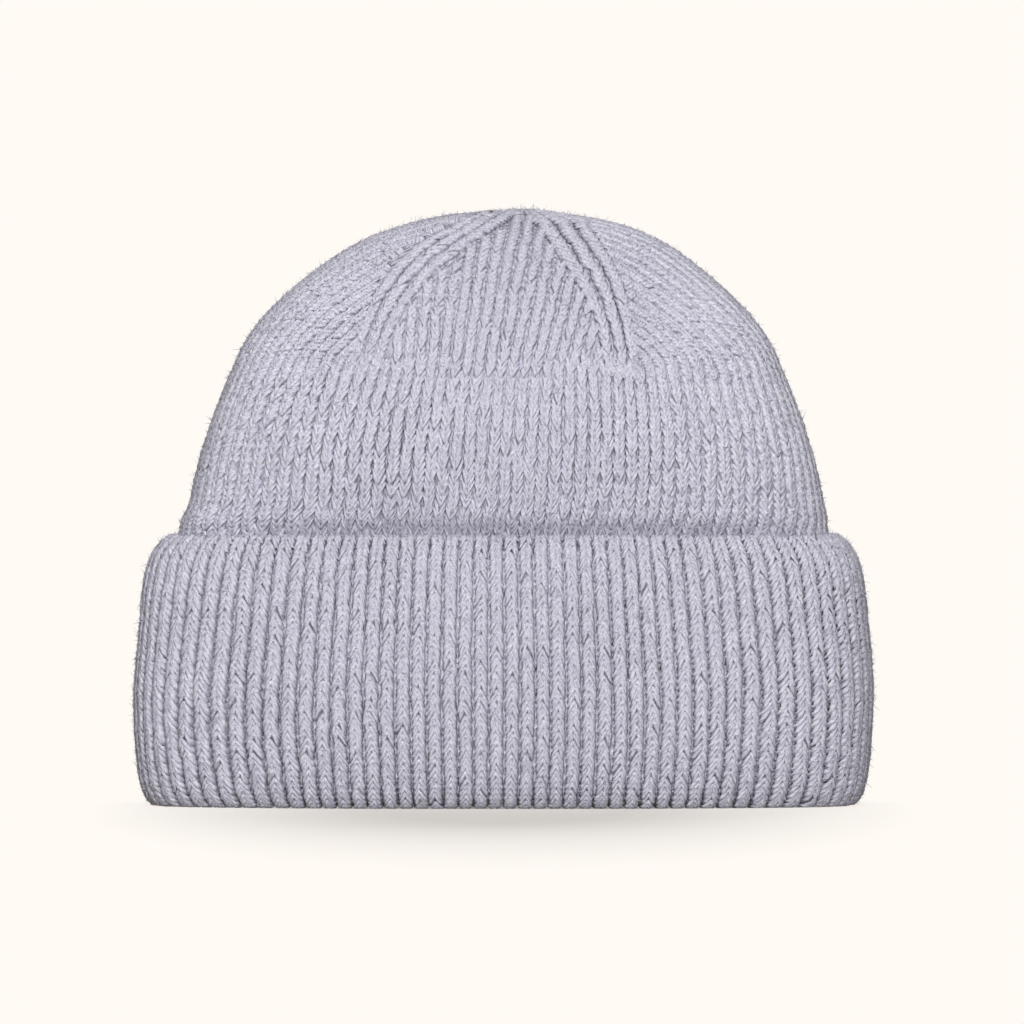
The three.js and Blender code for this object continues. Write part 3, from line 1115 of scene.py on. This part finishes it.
def close_cloth(mesh, points):
    """Wraps a cloth grid on points, and closes its seams and poles."""
    move_vertices(mesh, points)
    bm = bmesh.new()
    bm.from_mesh(mesh)
    bmesh.ops.remove_doubles(bm, verts=bm.verts, dist=SEAM_GAP)
    bmesh.ops.dissolve_degenerate(bm, dist=SLIVER, edges=bm.edges)
    bmesh.ops.recalc_face_normals(bm, faces=bm.faces)
    bm.to_mesh(mesh)
    bm.free()
    return mesh


def cuff_cloth(rib_fall):
    """The cuff's wall under its stitches, ribbed outside and plain inside."""
    way = read_table(CUFF_CLOTH)
    tube = inset_tube(way["height"], way["inset"])
    knots = flat_lengths(way["height"], way["inset"])
    mesh = cloth_grid(RIB_COUNT * CUFF_CLOTH_PER_RIB, CUFF_CLOTH_ROWS)
    around, along = vertex_places(mesh)[:, :2].T
    level = along * tube.LEVELS
    share = stretched_share(around)
    ribs = np.interp(along, knots / knots[-1], way["ribs"])
    groove = 0.5 - 0.5 * np.cos(2 * math.pi * around * RIB_COUNT)
    fall = CUFF_CLOTH_FALL * rib_fall * ribs * side_depth(share) * groove
    points = tube.point(share, level) - tube.outward(share, level) * fall[:, None]
    return close_cloth(mesh, points)


def crown_cloth(tube):
    """The crown's wall under its stitches, from the apex down outside to the rim and back up inside."""
    mesh = cloth_grid(*CROWN_CLOTH_GRID)
    around, along = vertex_places(mesh)[:, :2].T
    outside = along < 0.5
    level = np.where(outside, 1 - along * 2, along * 2 - 1) * tube.LEVELS
    depth = np.where(outside, CROWN_CLOTH_DEPTH, CROWN_WALL)
    points = tube.point(around, level) - tube.outward(around, level) * depth[:, None]
    pole = (along < 1e-6) | (along > 1 - 1e-6)
    apex = tube.point(np.array([FRONT_SHARE]), np.array([float(tube.LEVELS)]))[0]
    points[pole] = (APEX_SHIFT * MM, 0, apex[2])
    points[pole, 2] -= depth[pole]
    return close_cloth(mesh, points)


def needle_template(thickness):
    """One fibre as a thin three-sided needle of length 1."""
    bm = bmesh.new()
    bmesh.ops.create_cone(
        bm,
        cap_ends=True,
        segments=3,
        radius1=thickness / 2,
        radius2=0,
        depth=1,
        matrix=Matrix.Translation((0, 0, 0.5)),
    )
    bmesh.ops.remove_doubles(bm, verts=bm.verts, dist=TIP_GAP)
    bake_map = bm.loops.layers.uv.new("OFBake")
    bm.verts.index_update()
    for face in bm.faces:
        for loop in face.loops:
            turn = loop.vert.index * math.pi / 2
            corner = (math.cos(turn), math.sin(turn))
            loop[bake_map].uv = [0.5 + NEEDLE_RADIUS * value for value in corner]
    return finished_mesh("needle", bm)


def strand_points(names):
    """The points of every strand of the named pieces, by strand, station and side, and how each faces."""
    stations = len(RIB_STRAND) - 1
    points = []
    facing = []
    for name in names:
        mesh = bpy.data.objects[name].data
        flat = np.empty(len(mesh.vertices), np.float32)
        mesh.attributes["facing"].data.foreach_get("value", flat)
        points.append(vertex_places(mesh).reshape(-1, stations, STRAND_SIDES, 3))
        facing.append(flat.reshape(-1, stations, STRAND_SIDES))
    return np.concatenate(points), np.concatenate(facing)


def fuzz_mesh(names, count, length, thickness, seed):
    """Loose fibres on the strands of the named pieces: most lie along the yarn, and some stand out."""
    points, facing = strand_points(names)
    chance = np.random.default_rng(seed)
    strand = chance.integers(0, len(points), count)
    station = chance.integers(0, points.shape[1] - 1, count)
    side_chance = chance.normal(0, FUZZ_SIDE_SPREAD, (count, STRAND_SIDES))
    side = np.argmax(facing[strand, station] + side_chance, axis=1)
    part = chance.random((count, 1))
    low = points[strand, station, side]
    high = points[strand, station + 1, side]
    base = low * (1 - part) + high * part
    middle = points[strand, station].mean(axis=1) * (1 - part)
    middle = middle + points[strand, station + 1].mean(axis=1) * part
    out = unit(base - middle)
    along = unit(high - low) * chance.choice([-1, 1], (count, 1))
    turn = chance.normal(0, FUZZ_TURN_SPREAD, (count, 1))
    lift = FUZZ_LEAST_LIFT + FUZZ_LIFT * chance.beta(*FUZZ_LIFT_SHAPE, (count, 1))
    ahead = unit(along * np.cos(turn) + np.cross(out, along) * np.sin(turn) + out * lift)
    broad = unit(np.cross(ahead, out))
    deep = np.cross(ahead, broad)
    size = length * chance.gamma(FUZZ_LENGTH_SHAPE, 1 / FUZZ_LENGTH_SHAPE, (count, 1))
    size = np.minimum(size, length * FUZZ_LONGEST)
    width = chance.uniform(*FUZZ_WIDTHS, (count, 1))
    template = needle_template(thickness)
    mesh = strip_of(template, count, 1)
    local = vertex_places(template)[None, :, :]
    placed = base[:, None, :] + (ahead * size)[:, None, :] * local[:, :, 2:3]
    placed = placed + (broad * width)[:, None, :] * local[:, :, 0:1]
    placed = placed + (deep * width)[:, None, :] * local[:, :, 1:2]
    placed[:, :, 2] = np.maximum(placed[:, :, 2], LOWEST)
    move_vertices(mesh, placed)
    spread_bake_tiles(mesh, count)
    return mesh


class NodeTree:
    """Short calls to add and join shader nodes."""

    def __init__(self, tree):
        self.tree = tree

    def add(self, kind, inputs=None, **settings):
        """A node with its properties set, and its inputs joined to outputs or set to values."""
        node = self.tree.nodes.new(kind)
        for name, value in settings.items():
            setattr(node, name, value)
        for name, value in (inputs or {}).items():
            self.feed(node.inputs[name], value)
        return node

    def feed(self, socket, value):
        """Joins a socket to an output, or sets it to a value."""
        if isinstance(value, bpy.types.NodeSocket):
            self.tree.links.new(value, socket)
        else:
            socket.default_value = value

    def math(self, operation, *values):
        """A Math node's result."""
        return self.add("ShaderNodeMath", dict(enumerate(values)), operation=operation).outputs["Value"]

    def noise(self, vector, scale, detail, roughness=0.5):
        """A Noise Texture's value."""
        inputs = {"Vector": vector, "Scale": scale, "Detail": detail, "Roughness": roughness}
        return self.add("ShaderNodeTexNoise", inputs).outputs["Fac"]

    def between(self, value, low, high, to_low=0.0, to_high=1.0):
        """A value mapped from one range to another, and kept in it."""
        inputs = {"Value": value, "From Min": low, "From Max": high, "To Min": to_low, "To Max": to_high}
        return self.add("ShaderNodeMapRange", inputs, clamp=True).outputs["Result"]

    def blend(self, share, first, second):
        """Two colours blended by a share."""
        return self.add("ShaderNodeMix", {0: share, 6: first, 7: second}, data_type="RGBA").outputs[2]

    def blend_shaders(self, share, first, second):
        """Two shaders blended by a share."""
        return self.add("ShaderNodeMixShader", {0: share, 1: first, 2: second}).outputs["Shader"]

    def combine(self, x, y, z):
        """A vector of three values."""
        return self.add("ShaderNodeCombineXYZ", {"X": x, "Y": y, "Z": z}).outputs["Vector"]

    def split(self, vector):
        """The values of a vector, by the names X, Y and Z."""
        return self.add("ShaderNodeSeparateXYZ", {"Vector": vector}).outputs

    def object_place(self):
        """Where a point of the surface lies in the shared frame."""
        return self.add("ShaderNodeTexCoord").outputs["Object"]


def new_group(name, inputs, outputs):
    """An empty shader node group with named sockets, and its input and output nodes."""
    group = bpy.data.node_groups.new(name, "ShaderNodeTree")
    for socket_name, kind, value in inputs:
        socket = group.interface.new_socket(socket_name, in_out="INPUT", socket_type=kind)
        socket.default_value = value
    for socket_name, kind in outputs:
        group.interface.new_socket(socket_name, in_out="OUTPUT", socket_type=kind)
    nodes = NodeTree(group)
    return nodes, nodes.add("NodeGroupInput"), nodes.add("NodeGroupOutput")


def streak_group():
    """Fine loose fibres drawn flat: short streaks that cross the stitches at three slants."""
    if "Streaks" in bpy.data.node_groups:
        return bpy.data.node_groups["Streaks"]
    nodes, given, result = new_group(
        "Streaks",
        [("Length", "NodeSocketFloat", 0.0012), ("Width", "NodeSocketFloat", 0.0004)],
        [("Pale", "NodeSocketFloat"), ("Dark", "NodeSocketFloat")],
    )
    place = nodes.split(nodes.object_place())
    around = nodes.math("MULTIPLY", nodes.math("ARCTAN2", place["Y"], place["X"]), STREAK_RADIUS)
    squares = [nodes.math("POWER", place[axis], 2.0) for axis in ("X", "Y")]
    reach = nodes.math("SQRT", nodes.math("ADD", *squares))
    up = nodes.math("SUBTRACT", place["Z"], nodes.math("MULTIPLY", reach, STREAK_TOP_RISE))
    pale = 0.0
    dark = 0.0
    for i, degrees in enumerate(STREAK_SLANTS):
        cosine = math.cos(math.radians(degrees))
        sine = math.sin(math.radians(degrees))
        around_part, up_part = (nodes.math("MULTIPLY", value, cosine) for value in (around, up))
        around_rest, up_rest = (nodes.math("MULTIPLY", value, sine) for value in (around, up))
        along = nodes.math("ADD", around_part, up_rest)
        across = nodes.math("SUBTRACT", up_part, around_rest)
        seat = nodes.combine(
            nodes.math("DIVIDE", along, given.outputs["Length"]),
            nodes.math("DIVIDE", across, given.outputs["Width"]),
            STREAK_SHIFT * i,
        )
        streak = nodes.noise(seat, 1.0, 1)
        pale = nodes.math("MAXIMUM", pale, nodes.between(streak, *PALE_STREAK))
        dark = nodes.math("MAXIMUM", dark, nodes.between(streak, *DARK_STREAK))
    nodes.feed(result.inputs["Pale"], pale)
    nodes.feed(result.inputs["Dark"], dark)
    return nodes.tree


def heather_group():
    """Heathered yarn: the wool's own colour with paler and darker fibres and soft uneven patches, and painted
    shade in the hollows.
    """
    if "Heather" in bpy.data.node_groups:
        return bpy.data.node_groups["Heather"]
    nodes, given, result = new_group(
        "Heather",
        [
            ("Wool", "NodeSocketColor", (0.5, 0.5, 0.5, 1)),
            ("Pale Fibre", "NodeSocketColor", (0.8, 0.8, 0.8, 1)),
            ("Dark Fibre", "NodeSocketColor", (0.3, 0.3, 0.3, 1)),
            ("Fibre", "NodeSocketFloat", 0.0),
            ("Hollow", "NodeSocketFloat", 0.0),
        ],
        [("Color", "NodeSocketColor")],
    )
    place = nodes.object_place()
    fibre = given.outputs["Fibre"]
    streaks = nodes.add("ShaderNodeGroup", node_tree=streak_group()).outputs
    masks = {
        "patches": nodes.between(nodes.noise(place, *HEATHER_PATCHES), *HEATHER_PATCH_RANGE),
        "specks": nodes.between(nodes.noise(place, *HEATHER_SPECKS), *HEATHER_SPECK_RANGE),
        "dark fibres": nodes.between(fibre, *DARK_FIBRE_RANGE),
        "pale fibres": nodes.between(fibre, *PALE_FIBRE_RANGE),
        "dark streaks": streaks["Dark"],
        "pale streaks": streaks["Pale"],
    }
    wool = given.outputs["Wool"]
    for mask, share, colour in HEATHER:
        wool = nodes.blend(nodes.math("MULTIPLY", masks[mask], share), wool, given.outputs[colour])
    # Painted shade: the hollows are blended towards the dark fibres' colour.
    wool = nodes.blend(given.outputs["Hollow"], wool, given.outputs["Dark Fibre"])
    nodes.feed(result.inputs["Color"], wool)
    return nodes.tree


def ply_group():
    """The yarn's own form along and round a leg: two twisted plies and the fibres that run along them."""
    if "Twisted Plies" in bpy.data.node_groups:
        return bpy.data.node_groups["Twisted Plies"]
    nodes, given, result = new_group(
        "Twisted Plies",
        [("Twist", "NodeSocketFloat", 1.0), ("Fibre Length", "NodeSocketFloat", 1.0)],
        [("Fibre", "NodeSocketFloat"), ("Hollow", "NodeSocketFloat"), ("Height", "NodeSocketFloat")],
    )
    yarn = nodes.split(nodes.add("ShaderNodeUVMap", uv_map="Yarn").outputs["UV"])
    along = yarn["X"]
    tone = nodes.add("ShaderNodeAttribute", attribute_name="tone").outputs["Fac"]
    turned = nodes.math("ADD", yarn["Y"], nodes.math("MULTIPLY", along, given.outputs["Twist"]))
    phase = nodes.math("FRACT", nodes.math("ADD", nodes.math("MULTIPLY", turned, PLIES), tone))
    ridge = nodes.math("ABSOLUTE", nodes.math("SUBTRACT", phase, 0.5))
    # The hollow between plies: a dip in the relief, and painted shade in the colour.
    shaded_hollow = nodes.between(ridge, *PLY_HOLLOW)
    run = nodes.math("DIVIDE", nodes.math("MULTIPLY", along, FIBRES_ALONG), given.outputs["Fibre Length"])
    wound = nodes.math("MULTIPLY", turned, FIBRES_AROUND)
    seat = nodes.combine(run, wound, nodes.math("MULTIPLY", tone, FIBRE_SHIFT))
    fibre = nodes.noise(seat, *PLY_FIBRES)
    raised = nodes.math("MULTIPLY", fibre, FIBRE_HEIGHT)
    height = nodes.math("SUBTRACT", raised, nodes.math("MULTIPLY", shaded_hollow, HOLLOW_HEIGHT))
    nodes.feed(result.inputs["Fibre"], fibre)
    nodes.feed(result.inputs["Hollow"], shaded_hollow)
    nodes.feed(result.inputs["Height"], height)
    return nodes.tree


def new_material(name):
    """A material with an empty node tree, a Principled BSDF and its output."""
    material = bpy.data.materials.new(name)
    material.use_nodes = True
    material.node_tree.nodes.clear()
    nodes = NodeTree(material.node_tree)
    shader = nodes.add("ShaderNodeBsdfPrincipled")
    nodes.add("ShaderNodeOutputMaterial", {"Surface": shader.outputs["BSDF"]})
    return material, nodes, shader


def with_alpha(colour, share=1):
    """A share of a colour, with an alpha of 1."""
    return (*(share * value for value in colour), 1)


def wool_shader(shader, sheen):
    """Sets the dull, softly shining surface that all the wool shares."""
    shader.inputs["Roughness"].default_value = 0.92
    shader.inputs["Specular IOR Level"].default_value = 0.18
    shader.inputs["Sheen Weight"].default_value = sheen
    shader.inputs["Sheen Roughness"].default_value = 0.45


def heathered_wool(nodes, shader, wool, colours, fibre, shaded_hollow, relief):
    """Gives a wool material its heathered colour, with painted shade in its hollows, and its relief, from a
    height, a strength and a depth.
    """
    inputs = {
        "Wool": with_alpha(wool),
        "Pale Fibre": with_alpha(colours.pale_fibre),
        "Dark Fibre": with_alpha(colours.dark_fibre),
        "Fibre": fibre,
        "Hollow": shaded_hollow,
    }
    heather = nodes.add("ShaderNodeGroup", inputs, node_tree=heather_group())
    height, strength, depth = relief
    bump = nodes.add("ShaderNodeBump", {"Height": height, "Strength": strength, "Distance": depth})
    nodes.feed(shader.inputs["Base Color"], heather.outputs["Color"])
    nodes.feed(shader.inputs["Normal"], bump.outputs["Normal"])
    wool_shader(shader, WOOL_SHEEN)


def yarn_material(name, wool, colours):
    """Heathered, twisted yarn for stitches."""
    if name in bpy.data.materials:
        return bpy.data.materials[name]
    material, nodes, shader = new_material(name)
    plies = nodes.add("ShaderNodeGroup", node_tree=ply_group())
    plies.inputs["Twist"].default_value = YARN_TWIST
    # Painted shade: the share by which the hollows between plies are darkened.
    shaded_hollow = nodes.math("MULTIPLY", plies.outputs["Hollow"], YARN_HOLLOW_SHADE)
    relief = (plies.outputs["Height"], *YARN_RELIEF)
    heathered_wool(nodes, shader, wool, colours, plies.outputs["Fibre"], shaded_hollow, relief)
    return material


def cloth_material(name, wool, wales, courses, colours):
    """The back of the knitting: rows of purl bumps by relief, with painted shade between them, on the cloth
    under the stitches and inside.
    """
    material, nodes, shader = new_material(name)
    place = nodes.split(nodes.add("ShaderNodeUVMap", uv_map="Yarn").outputs["UV"])
    across = nodes.math("MULTIPLY", place["X"], wales * 2 * math.pi)
    along = nodes.math("MULTIPLY", place["Y"], courses * 2 * math.pi)
    bow = nodes.math("MULTIPLY", nodes.math("COSINE", across), PURL_BOW)
    bumps = nodes.math("SINE", nodes.math("ADD", along, bow))
    fibre = nodes.noise(nodes.object_place(), *CLOTH_FIBRES)
    # Painted shade in the troughs between the purl bumps.
    shaded_hollow = nodes.between(bumps, *PURL_HOLLOW_SHADE)
    relief = (nodes.math("ADD", nodes.math("MULTIPLY", bumps, PURL_HEIGHT), fibre), *CLOTH_RELIEF)
    heathered_wool(nodes, shader, wool, colours, fibre, shaded_hollow, relief)
    return material


def fuzz_material(colours):
    """Loose fibres, a little paler and darker from place to place."""
    if "Loose fibre" in bpy.data.materials:
        return bpy.data.materials["Loose fibre"]
    material, nodes, shader = new_material("Loose fibre")
    patches = nodes.between(nodes.noise(nodes.object_place(), *FUZZ_PATCHES), *FUZZ_PATCH_RANGE)
    colour = nodes.blend(patches, with_alpha(colours.wool, FUZZ_DARKEST), with_alpha(colours.wool))
    nodes.feed(shader.inputs["Base Color"], colour)
    wool_shader(shader, 0.0)
    return material


def size_property(name, description, default):
    """A small length that a user may change."""
    return FloatProperty(name=name, description=description, default=default, unit="LENGTH", precision=5)


def colour_property(name, description, default):
    """A colour that a user may change."""
    return FloatVectorProperty(name=name, description=description, default=default, subtype="COLOR")


class HatSizes(bpy.types.PropertyGroup):
    """Sizes of the yarn and its stitches."""

    cuff_yarn: size_property("Cuff Yarn", "Thickness of a strand of yarn on the cuff", 0.00144)
    crown_yarn: size_property("Crown Yarn", "Thickness of a strand of yarn on the crown", 0.00152)
    cuff_course: size_property("Cuff Course", "Height of one row of stitches on the cuff", 0.00415)
    crown_course: size_property("Crown Course", "Height of one row of stitches on the crown", 0.00438)
    rib_fall: size_property("Rib Depth", "How far the cuff's ribs fall to their grooves", 0.0019)
    wale_fall: size_property("Wale Depth", "How far the crown's wales fall to their grooves", 0.0017)
    fuzz_length: size_property("Fuzz Length", "Common length of a loose fibre", 0.0016)
    fuzz_thickness: size_property("Fuzz Thickness", "Thickness of a loose fibre at its root", 0.00025)
    cuff_fibres: IntProperty(name="Cuff Fibres", description="Loose fibres on the cuff", default=31000)
    crown_fibres: IntProperty(name="Crown Fibres", description="Loose fibres on the crown", default=31000)


class HatColours(bpy.types.PropertyGroup):
    """Colours of the yarn and the stage."""

    wool: colour_property("Crown Wool", "Main colour of the crown's yarn", (0.70, 0.684, 0.800))
    # The cuff's wool is a darker copy of the crown's: painted shade on the cuff.
    cuff_shaded_wool: colour_property("Cuff Shaded Wool", "Main colour of the cuff's yarn", (0.655, 0.638, 0.750))
    pale_fibre: colour_property("Pale Fibre", "Palest fibres in the heather", (0.97, 0.97, 1.0))
    # The dark fibres' colour is also painted into the hollows between plies and purl bumps as shade.
    dark_fibre: colour_property("Dark Fibre", "Darkest fibres in the heather", (0.33, 0.32, 0.42))
    backdrop: colour_property("Backdrop", "Colour of the floor and the air behind it", (1.0, 0.956, 0.905))


def cuff_look(sizes):
    """Sizes of the cuff's stitches."""
    return {
        "wale": 4.93 * MM,
        "course": sizes.cuff_course,
        "yarn": sizes.cuff_yarn,
        "fall": sizes.rib_fall,
        "roundness": 6.0,
        "wander": 0.09,
        "swell": 0.35 * MM,
    }


def crown_look(sizes):
    """Sizes of the crown's stitches."""
    return {
        "wale": 4.25 * MM,
        "course": sizes.crown_course,
        "yarn": sizes.crown_yarn,
        "fall": sizes.wale_fall,
        "roundness": 3.0,
        "wander": 0.12,
        "swell": 0.45 * MM,
    }


def crown_body(sizes):
    """The straight part of the crown's knitting, from inside the cuff to the first decrease."""
    tube = crown_tube()
    low = tube.level_at_height(BODY_START * MM)
    high = tube.level_at_height(DECREASE_START * MM)
    way = read_table(BODY_RIBS)
    ribs = (way["share"], way["ribs"])
    return BodyKnit(tube, CROWN_WALES, sizes.crown_course, low, high, skew=CROWN_SKEW, ribs=ribs)


class HAT_OT_cuff(bpy.types.Operator):
    """Knits the cuff's ribs, front and back, over its cloth"""

    bl_idname = "knit_hat.cuff"
    bl_label = "Cuff"

    def execute(self, context):
        sizes = context.scene.hat_sizes
        colours = context.scene.hat_colours
        look = cuff_look(sizes)
        template = stitch_template("cuff stitch", RIB_STRAND, look, upside_down=True)
        tube = cuff_tube()
        way = read_table(CUFF_KNIT)
        knots = flat_lengths(way["height"], way["inset"])
        ribs = (knots / knots[-1], way["ribs"])
        knit = RoundKnit(tube, RIB_COUNT, look["course"], 0.0, float(tube.LEVELS), ribs=ribs)
        wale, course = knit.stitches()
        # The cuff's yarn and cloth take the darker copy of the wool, as painted shade.
        wool = yarn_material("Cuff yarn", colours.cuff_shaded_wool, colours)
        in_back = wale < RIB_COUNT // 2
        for name, kept in (("cuff_ribs_back", in_back), ("cuff_ribs_front", ~in_back)):
            mesh = lay_stitches(name, template, knit, wale[kept], course[kept], look, CUFF_SEED)
            spread_bake_tiles(mesh, int(kept.sum()))
            show_piece(name, mesh, "cuff", wool)
        cloth = cloth_material("Cuff cloth", colours.cuff_shaded_wool, RIB_COUNT, CUFF_PURL_ROWS, colours)
        show_piece("cuff_cloth", cuff_cloth(sizes.rib_fall), "cuff", cloth)
        return {"FINISHED"}


class HAT_OT_crown(bpy.types.Operator):
    """Knits the crown's straight part over the cloth of the whole crown"""

    bl_idname = "knit_hat.crown"
    bl_label = "Crown"

    def execute(self, context):
        sizes = context.scene.hat_sizes
        colours = context.scene.hat_colours
        look = crown_look(sizes)
        template = stitch_template("crown stitch", CROWN_STRAND, look, upside_down=False)
        knit = crown_body(sizes)
        wale, course = knit.stitches()
        mesh = lay_stitches("crown_stitches", template, knit, wale, course, look, CROWN_SEED)
        spread_bake_tiles(mesh, len(wale))
        wool = yarn_material("Crown yarn", colours.wool, colours)
        show_piece("crown_stitches", mesh, "crown", wool)
        cloth = cloth_material("Crown cloth", colours.wool, CROWN_WALES, CROWN_PURL_ROWS, colours)
        show_piece("crown_cloth", crown_cloth(knit.tube), "crown", cloth)
        return {"FINISHED"}


class HAT_OT_crown_top(bpy.types.Operator):
    """Knits the gathered top of the crown: front and back wedges, side wedges and decrease bands"""

    bl_idname = "knit_hat.crown_top"
    bl_label = "Gathered Top"

    def execute(self, context):
        sizes = context.scene.hat_sizes
        colours = context.scene.hat_colours
        look = crown_look(sizes)
        template = stitch_template("top stitch", CROWN_STRAND, look, upside_down=False)
        top = CrownTop(crown_body(sizes), look["course"])
        wool = yarn_material("Crown yarn", colours.wool, colours)
        wedges = [WedgeKnit(top, False), WedgeKnit(top, True), SideKnit(top, True), SideKnit(top, False)]
        bands = [BandKnit(top, name, back) for back in (False, True) for name in ("left", "right")]
        wedges.append(GatherKnit(top))
        self.knit("crown_wedges", wedges, template, look, wool, WEDGE_SEED)
        self.knit("decrease_bands", bands, template, look, wool, BAND_SEED)
        return {"FINISHED"}

    def knit(self, name, parts, template, look, wool, seed):
        """Lays the stitches of several parts as one piece."""
        meshes = []
        for i, part in enumerate(parts):
            wale, course = part.stitches()
            meshes.append(lay_stitches(f"{name}_{i}", template, part, wale, course, look, seed + i))
        mesh = joined(name, meshes)
        spread_bake_tiles(mesh, len(mesh.vertices) // len(template.vertices))
        show_piece(name, mesh, "crown", wool)


class HAT_OT_fuzz(bpy.types.Operator):
    """Scatters loose fibres over all the stitches"""

    bl_idname = "knit_hat.fuzz"
    bl_label = "Fuzz"

    def execute(self, context):
        sizes = context.scene.hat_sizes
        fibre = fuzz_material(context.scene.hat_colours)
        cuff = ["cuff_ribs_front", "cuff_ribs_back"]
        crown = ["crown_stitches", "crown_wedges", "decrease_bands"]
        length = sizes.fuzz_length
        thickness = sizes.fuzz_thickness
        cuff_fuzz = fuzz_mesh(cuff, sizes.cuff_fibres, length, thickness, CUFF_FUZZ_SEED)
        crown_fuzz = fuzz_mesh(crown, sizes.crown_fibres, length, thickness, CROWN_FUZZ_SEED)
        show_piece("cuff_fuzz", cuff_fuzz, "cuff", fibre)
        show_piece("crown_fuzz", crown_fuzz, "crown", fibre)
        return {"FINISHED"}


def add_area_light(name, place, aim, width, power):
    """A square soft white light that faces the hat."""
    data = bpy.data.lights.new(name, "AREA")
    data.shape = "SQUARE"
    data.size = width
    data.energy = power
    light = bpy.data.objects.new(name, data)
    light.location = place
    light.rotation_euler = (Vector(aim) - Vector(place)).to_track_quat("-Z", "Y").to_euler()
    bpy.context.scene.collection.objects.link(light)


def floor_material(colour):
    """A pale matt floor that fades into the air behind it, and can't be seen from below.

    It throws less light up at the hat than its looks would.
    """
    material, nodes, shader = new_material("Pale floor")
    seen = nodes.add("ShaderNodeLightPath").outputs["Is Camera Ray"]
    paint = nodes.blend(seen, with_alpha(colour, FLOOR_BOUNCE), with_alpha(colour, FLOOR_SEEN))
    nodes.feed(shader.inputs["Base Color"], paint)
    shader.inputs["Roughness"].default_value = 0.95
    shader.inputs["Specular IOR Level"].default_value = 0.0
    strength = nodes.between(seen, 0, 1, AIR_BOUNCE, 1.0)
    air = nodes.add("ShaderNodeEmission", {"Color": with_alpha(colour), "Strength": strength})
    clear = nodes.add("ShaderNodeBsdfTransparent")
    place = nodes.split(nodes.object_place())
    beside = nodes.math("MULTIPLY", place["X"], FADE_BESIDE)
    before = nodes.math("MULTIPLY", nodes.math("MINIMUM", place["Y"], 0.0), FADE_BEFORE)
    behind = nodes.math("MAXIMUM", place["Y"], 0.0)
    away = nodes.combine(beside, nodes.math("ADD", before, behind), 0.0)
    length = nodes.add("ShaderNodeVectorMath", {0: away}, operation="LENGTH").outputs["Value"]
    far = nodes.between(length, FADE_FROM, FADE_TO, LEAST_FADE, 1.0)
    faded = nodes.blend_shaders(far, shader.outputs["BSDF"], air.outputs["Emission"])
    from_below = nodes.add("ShaderNodeNewGeometry").outputs["Backfacing"]
    output = next(node for node in material.node_tree.nodes if node.type == "OUTPUT_MATERIAL")
    one_sided = nodes.blend_shaders(from_below, faded, clear.outputs["BSDF"])
    nodes.feed(output.inputs["Surface"], one_sided)
    return material


class HAT_OT_stage(bpy.types.Operator):
    """Sets the floor, the soft lights and the camera"""

    bl_idname = "knit_hat.stage"
    bl_label = "Stage"

    def execute(self, context):
        colour = context.scene.hat_colours.backdrop
        self.add_floor(colour)
        self.add_air(context.scene, colour)
        for light in LIGHTS:
            add_area_light(*light)
        self.add_camera(context.scene)
        context.scene.view_settings.view_transform = "Standard"
        return {"FINISHED"}

    def add_floor(self, colour):
        """A wide flat floor under the hat."""
        bm = bmesh.new()
        bmesh.ops.create_circle(bm, cap_ends=True, radius=FLOOR_RADIUS, segments=64)
        mesh = finished_mesh("floor", bm)
        mesh.materials.append(floor_material(colour))
        floor = bpy.data.objects.new("floor", mesh)
        bpy.context.scene.collection.objects.link(floor)

    def add_air(self, scene, colour):
        """A plain world: seen at full brightness, and lighting the hat more softly."""
        world = bpy.data.worlds.new("Air")
        world.use_nodes = True
        world.node_tree.nodes.clear()
        nodes = NodeTree(world.node_tree)
        seen = nodes.add("ShaderNodeBackground", {"Color": with_alpha(colour), "Strength": 1.0})
        soft = nodes.add("ShaderNodeBackground", {"Color": (1, 1, 1, 1), "Strength": WORLD_LIGHT})
        by_camera = nodes.add("ShaderNodeLightPath").outputs["Is Camera Ray"]
        mixed = nodes.blend_shaders(by_camera, soft.outputs["Background"], seen.outputs["Background"])
        nodes.add("ShaderNodeOutputWorld", {"Surface": mixed})
        scene.world = world

    def add_camera(self, scene):
        """A long lens at the photo's angle, a little above the floor."""
        data = bpy.data.cameras.new("Camera")
        data.sensor_width = SENSOR
        data.lens = SENSOR * VIEW_DISTANCE / VIEW_WIDTH
        camera = bpy.data.objects.new("Camera", data)
        back = Vector((0, -math.cos(VIEW_ELEVATION), math.sin(VIEW_ELEVATION)))
        camera.location = VIEW_CENTRE + back * VIEW_DISTANCE
        camera.rotation_euler = (-back).to_track_quat("-Z", "Y").to_euler()
        scene.collection.objects.link(camera)
        scene.camera = camera


class HAT_PT_panel(bpy.types.Panel):
    """Sizes and colours of the knit hat, and its pieces"""

    bl_idname = "HAT_PT_panel"
    bl_label = "Knit Hat"
    bl_space_type = "VIEW_3D"
    bl_region_type = "UI"
    bl_category = "Knit Hat"

    def draw(self, context):
        for group in (context.scene.hat_sizes, context.scene.hat_colours):
            for name in group.bl_rna.properties.keys():
                if name not in {"rna_type", "name"}:
                    self.layout.prop(group, name)
        for operator in BUILD_ORDER:
            self.layout.operator(operator.bl_idname)


BUILD_ORDER = (HAT_OT_cuff, HAT_OT_crown, HAT_OT_crown_top, HAT_OT_fuzz, HAT_OT_stage)
CLASSES = (HatSizes, HatColours, *BUILD_ORDER, HAT_PT_panel)


def register():
    for cls in CLASSES:
        bpy.utils.register_class(cls)
    bpy.types.Scene.hat_sizes = PointerProperty(type=HatSizes)
    bpy.types.Scene.hat_colours = PointerProperty(type=HatColours)


def unregister():
    del bpy.types.Scene.hat_colours
    del bpy.types.Scene.hat_sizes
    for cls in reversed(CLASSES):
        bpy.utils.unregister_class(cls)


def main():
    register()
    bpy.ops.knit_hat.cuff()
    bpy.ops.knit_hat.crown()
    bpy.ops.knit_hat.crown_top()
    bpy.ops.knit_hat.fuzz()
    bpy.ops.knit_hat.stage()


if __name__ == "__main__":
    main()
